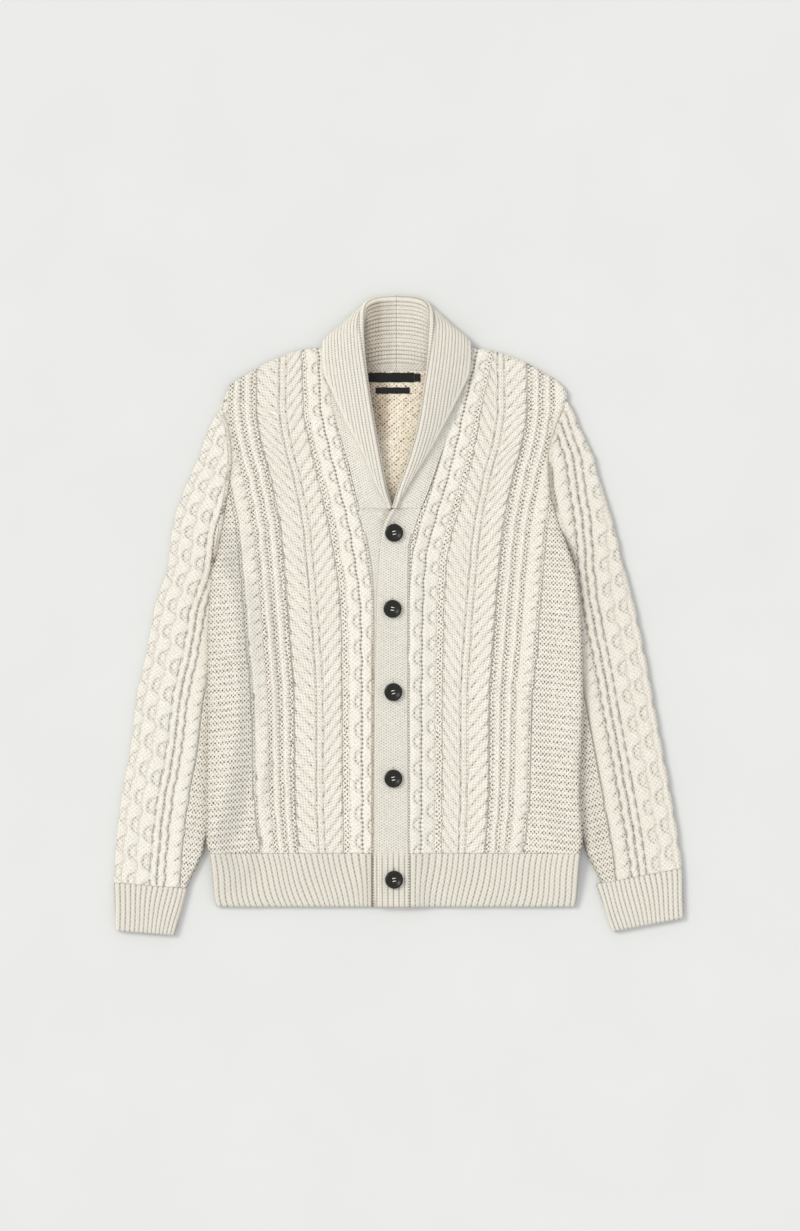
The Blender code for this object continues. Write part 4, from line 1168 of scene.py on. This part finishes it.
for (number, (x, y)), turn in zip(BUTTONS.items(), BUTTON_TURNS):
    profile = [(r * BUTTON_RADIUS, z * BUTTON_THICKNESS) for r, z in BUTTON_PROFILE]
    button = turned(f"button_{number}_horn", profile, 48)
    drilled(button, [(sx * HOLE, sy * HOLE) for sx in (-1, 1) for sy in (-1, 1)])
    stand_for(button)
    line = bpy.data.curves.new(f"button_{number}_thread", "CURVE")
    line.dimensions, line.bevel_depth, line.bevel_resolution = "3D", 0.55 * MM, 3
    for across in (-HOLE, HOLE):
        strand = line.splines.new("POLY")
        strand.points.add(len(THREAD) - 1)
        for point, (along, up) in zip(strand.points, THREAD):
            point.co = (along * MM, across * MM, up * MM, 1)
    line.materials.append(thread)
    stitched = placed(line.name, line)
    for piece in (button, stitched):
        piece.rotation_euler[2] = math.radians(turn)
        piece.location = (x * MM, y * MM, BUTTON_BOTTOM * MM)
    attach(stitched, "root")
print("buttons:", len(BUTTONS), "of", round(2 * BUTTON_RADIUS, 1), "mm")

# %% [markdown]
# ## Labels
# Neck labels are woven from fine black polyester in a satin weave. They are bare here. They are
# sewn down at their ends, so their edges wave a little between the stitches.

# %% Labels
LABELS = {  # (x from, x to, y from, y to)
    "main_label": (-37.5, 18.6, 288.7, 300.5), "size_tab": (19, 26.5, 289.5, 299.5),
    "care_label": (-28.8, 13.3, 274.6, 282.4),
}
LABEL_WALL = 0.64
satin, tree, shader = shader_of("woven_polyester_satin_black", 0.6, Specular_IOR_Level=0.3)
weave = add(tree, "TexWave", Scale=500, bands_direction="X", Distortion=0.4)
finish(shader, blend(tree, weave, "#0f0f10", "#1c1c1d"), weave)
labels = []
for name, (x0, x1, y0, y1) in LABELS.items():
    s, t = np.meshgrid(np.linspace(0, 1, 60), np.linspace(0, 1, 12))
    wave = 0.25 * np.sin(s * 17 + len(name)) * (2 * t - 1)
    x, y = x0 + (x1 - x0) * s, y0 + (y1 - y0) * t + wave
    base = BACK_WALL + SEAM + 0.15 + 0.5 * np.sin(s * math.pi * 2 + 1) ** 2 * np.sin(t * math.pi)
    knit = {"uv": stack(s * 40, t * 8), **{mark: 0 * x for mark in MARKS}}
    labels.append(laid_wall(f"{name}_satin", x, y, base, base + LABEL_WALL, knit, (3, 6)))
main, *small = labels
dress(main, satin, (0.0561, 0.0118), 0.00066, "back_knit", with_pieces=small)
for label in small:
    label.data.materials.append(satin)
    stand_for(label)

# %% [markdown]
# ## Floor, light and camera
# A flat garment is seen from straight above through a long lens, so nothing leans. The
# light is one soft window from the upper left and a bright room, which leaves the shadows
# thin. The floor is matt and almost white.

# %% Floor
paper, tree, shader = shader_of("matt_paper_floor", 0.95, Specular_IOR_Level=0.1)
tooth = add(tree, "TexNoise", Scale=60, Detail=2)
finish(shader, blend(tree, tooth, "#d1d1cd", "#d5d5d1"))
floor_mesh = bpy.data.meshes.new("floor")
corners = [(x, y, -0.0004) for x, y in ((-4, -4), (4, -4), (4, 4), (-4, 4))]
floor_mesh.from_pydata(corners, [], [[0, 1, 2, 3]])
floor_mesh.materials.append(paper)
floor = placed("floor", floor_mesh)

# %% Light and camera
scene = bpy.context.scene
scene.view_settings.view_transform = "Standard"
world = bpy.data.worlds.new("bright room")
scene.world = world
world.use_nodes = True
background = world.node_tree.nodes["Background"]
fill(background.inputs["Color"], "#f4f6fa")
fill(background.inputs["Strength"], 1.03)
sun = bpy.data.lights.new("soft window", "SUN")
sun.energy, sun.angle, sun.color = 1.6, math.radians(22), linear("#fffdf8")[:3]
window = placed("soft window", sun)
window.rotation_euler = Vector((0.75, -0.42, -0.8)).to_track_quat("-Z", "Y").to_euler()
camera = placed("camera", bpy.data.cameras.new("camera"))
scene.camera = camera
camera.data.lens, camera.data.sensor_width = 120, 36
FRAME_HEIGHT = 1231 * 1.24 * MM  # what the view's long side covers at the table
camera.location = (0.00124, -0.00025, FRAME_HEIGHT * camera.data.lens / camera.data.sensor_width)
camera.data.clip_end = 50
print("camera height:", round(camera.location[2], 2), "m")

# %% Finish
bpy.context.view_layer.update()
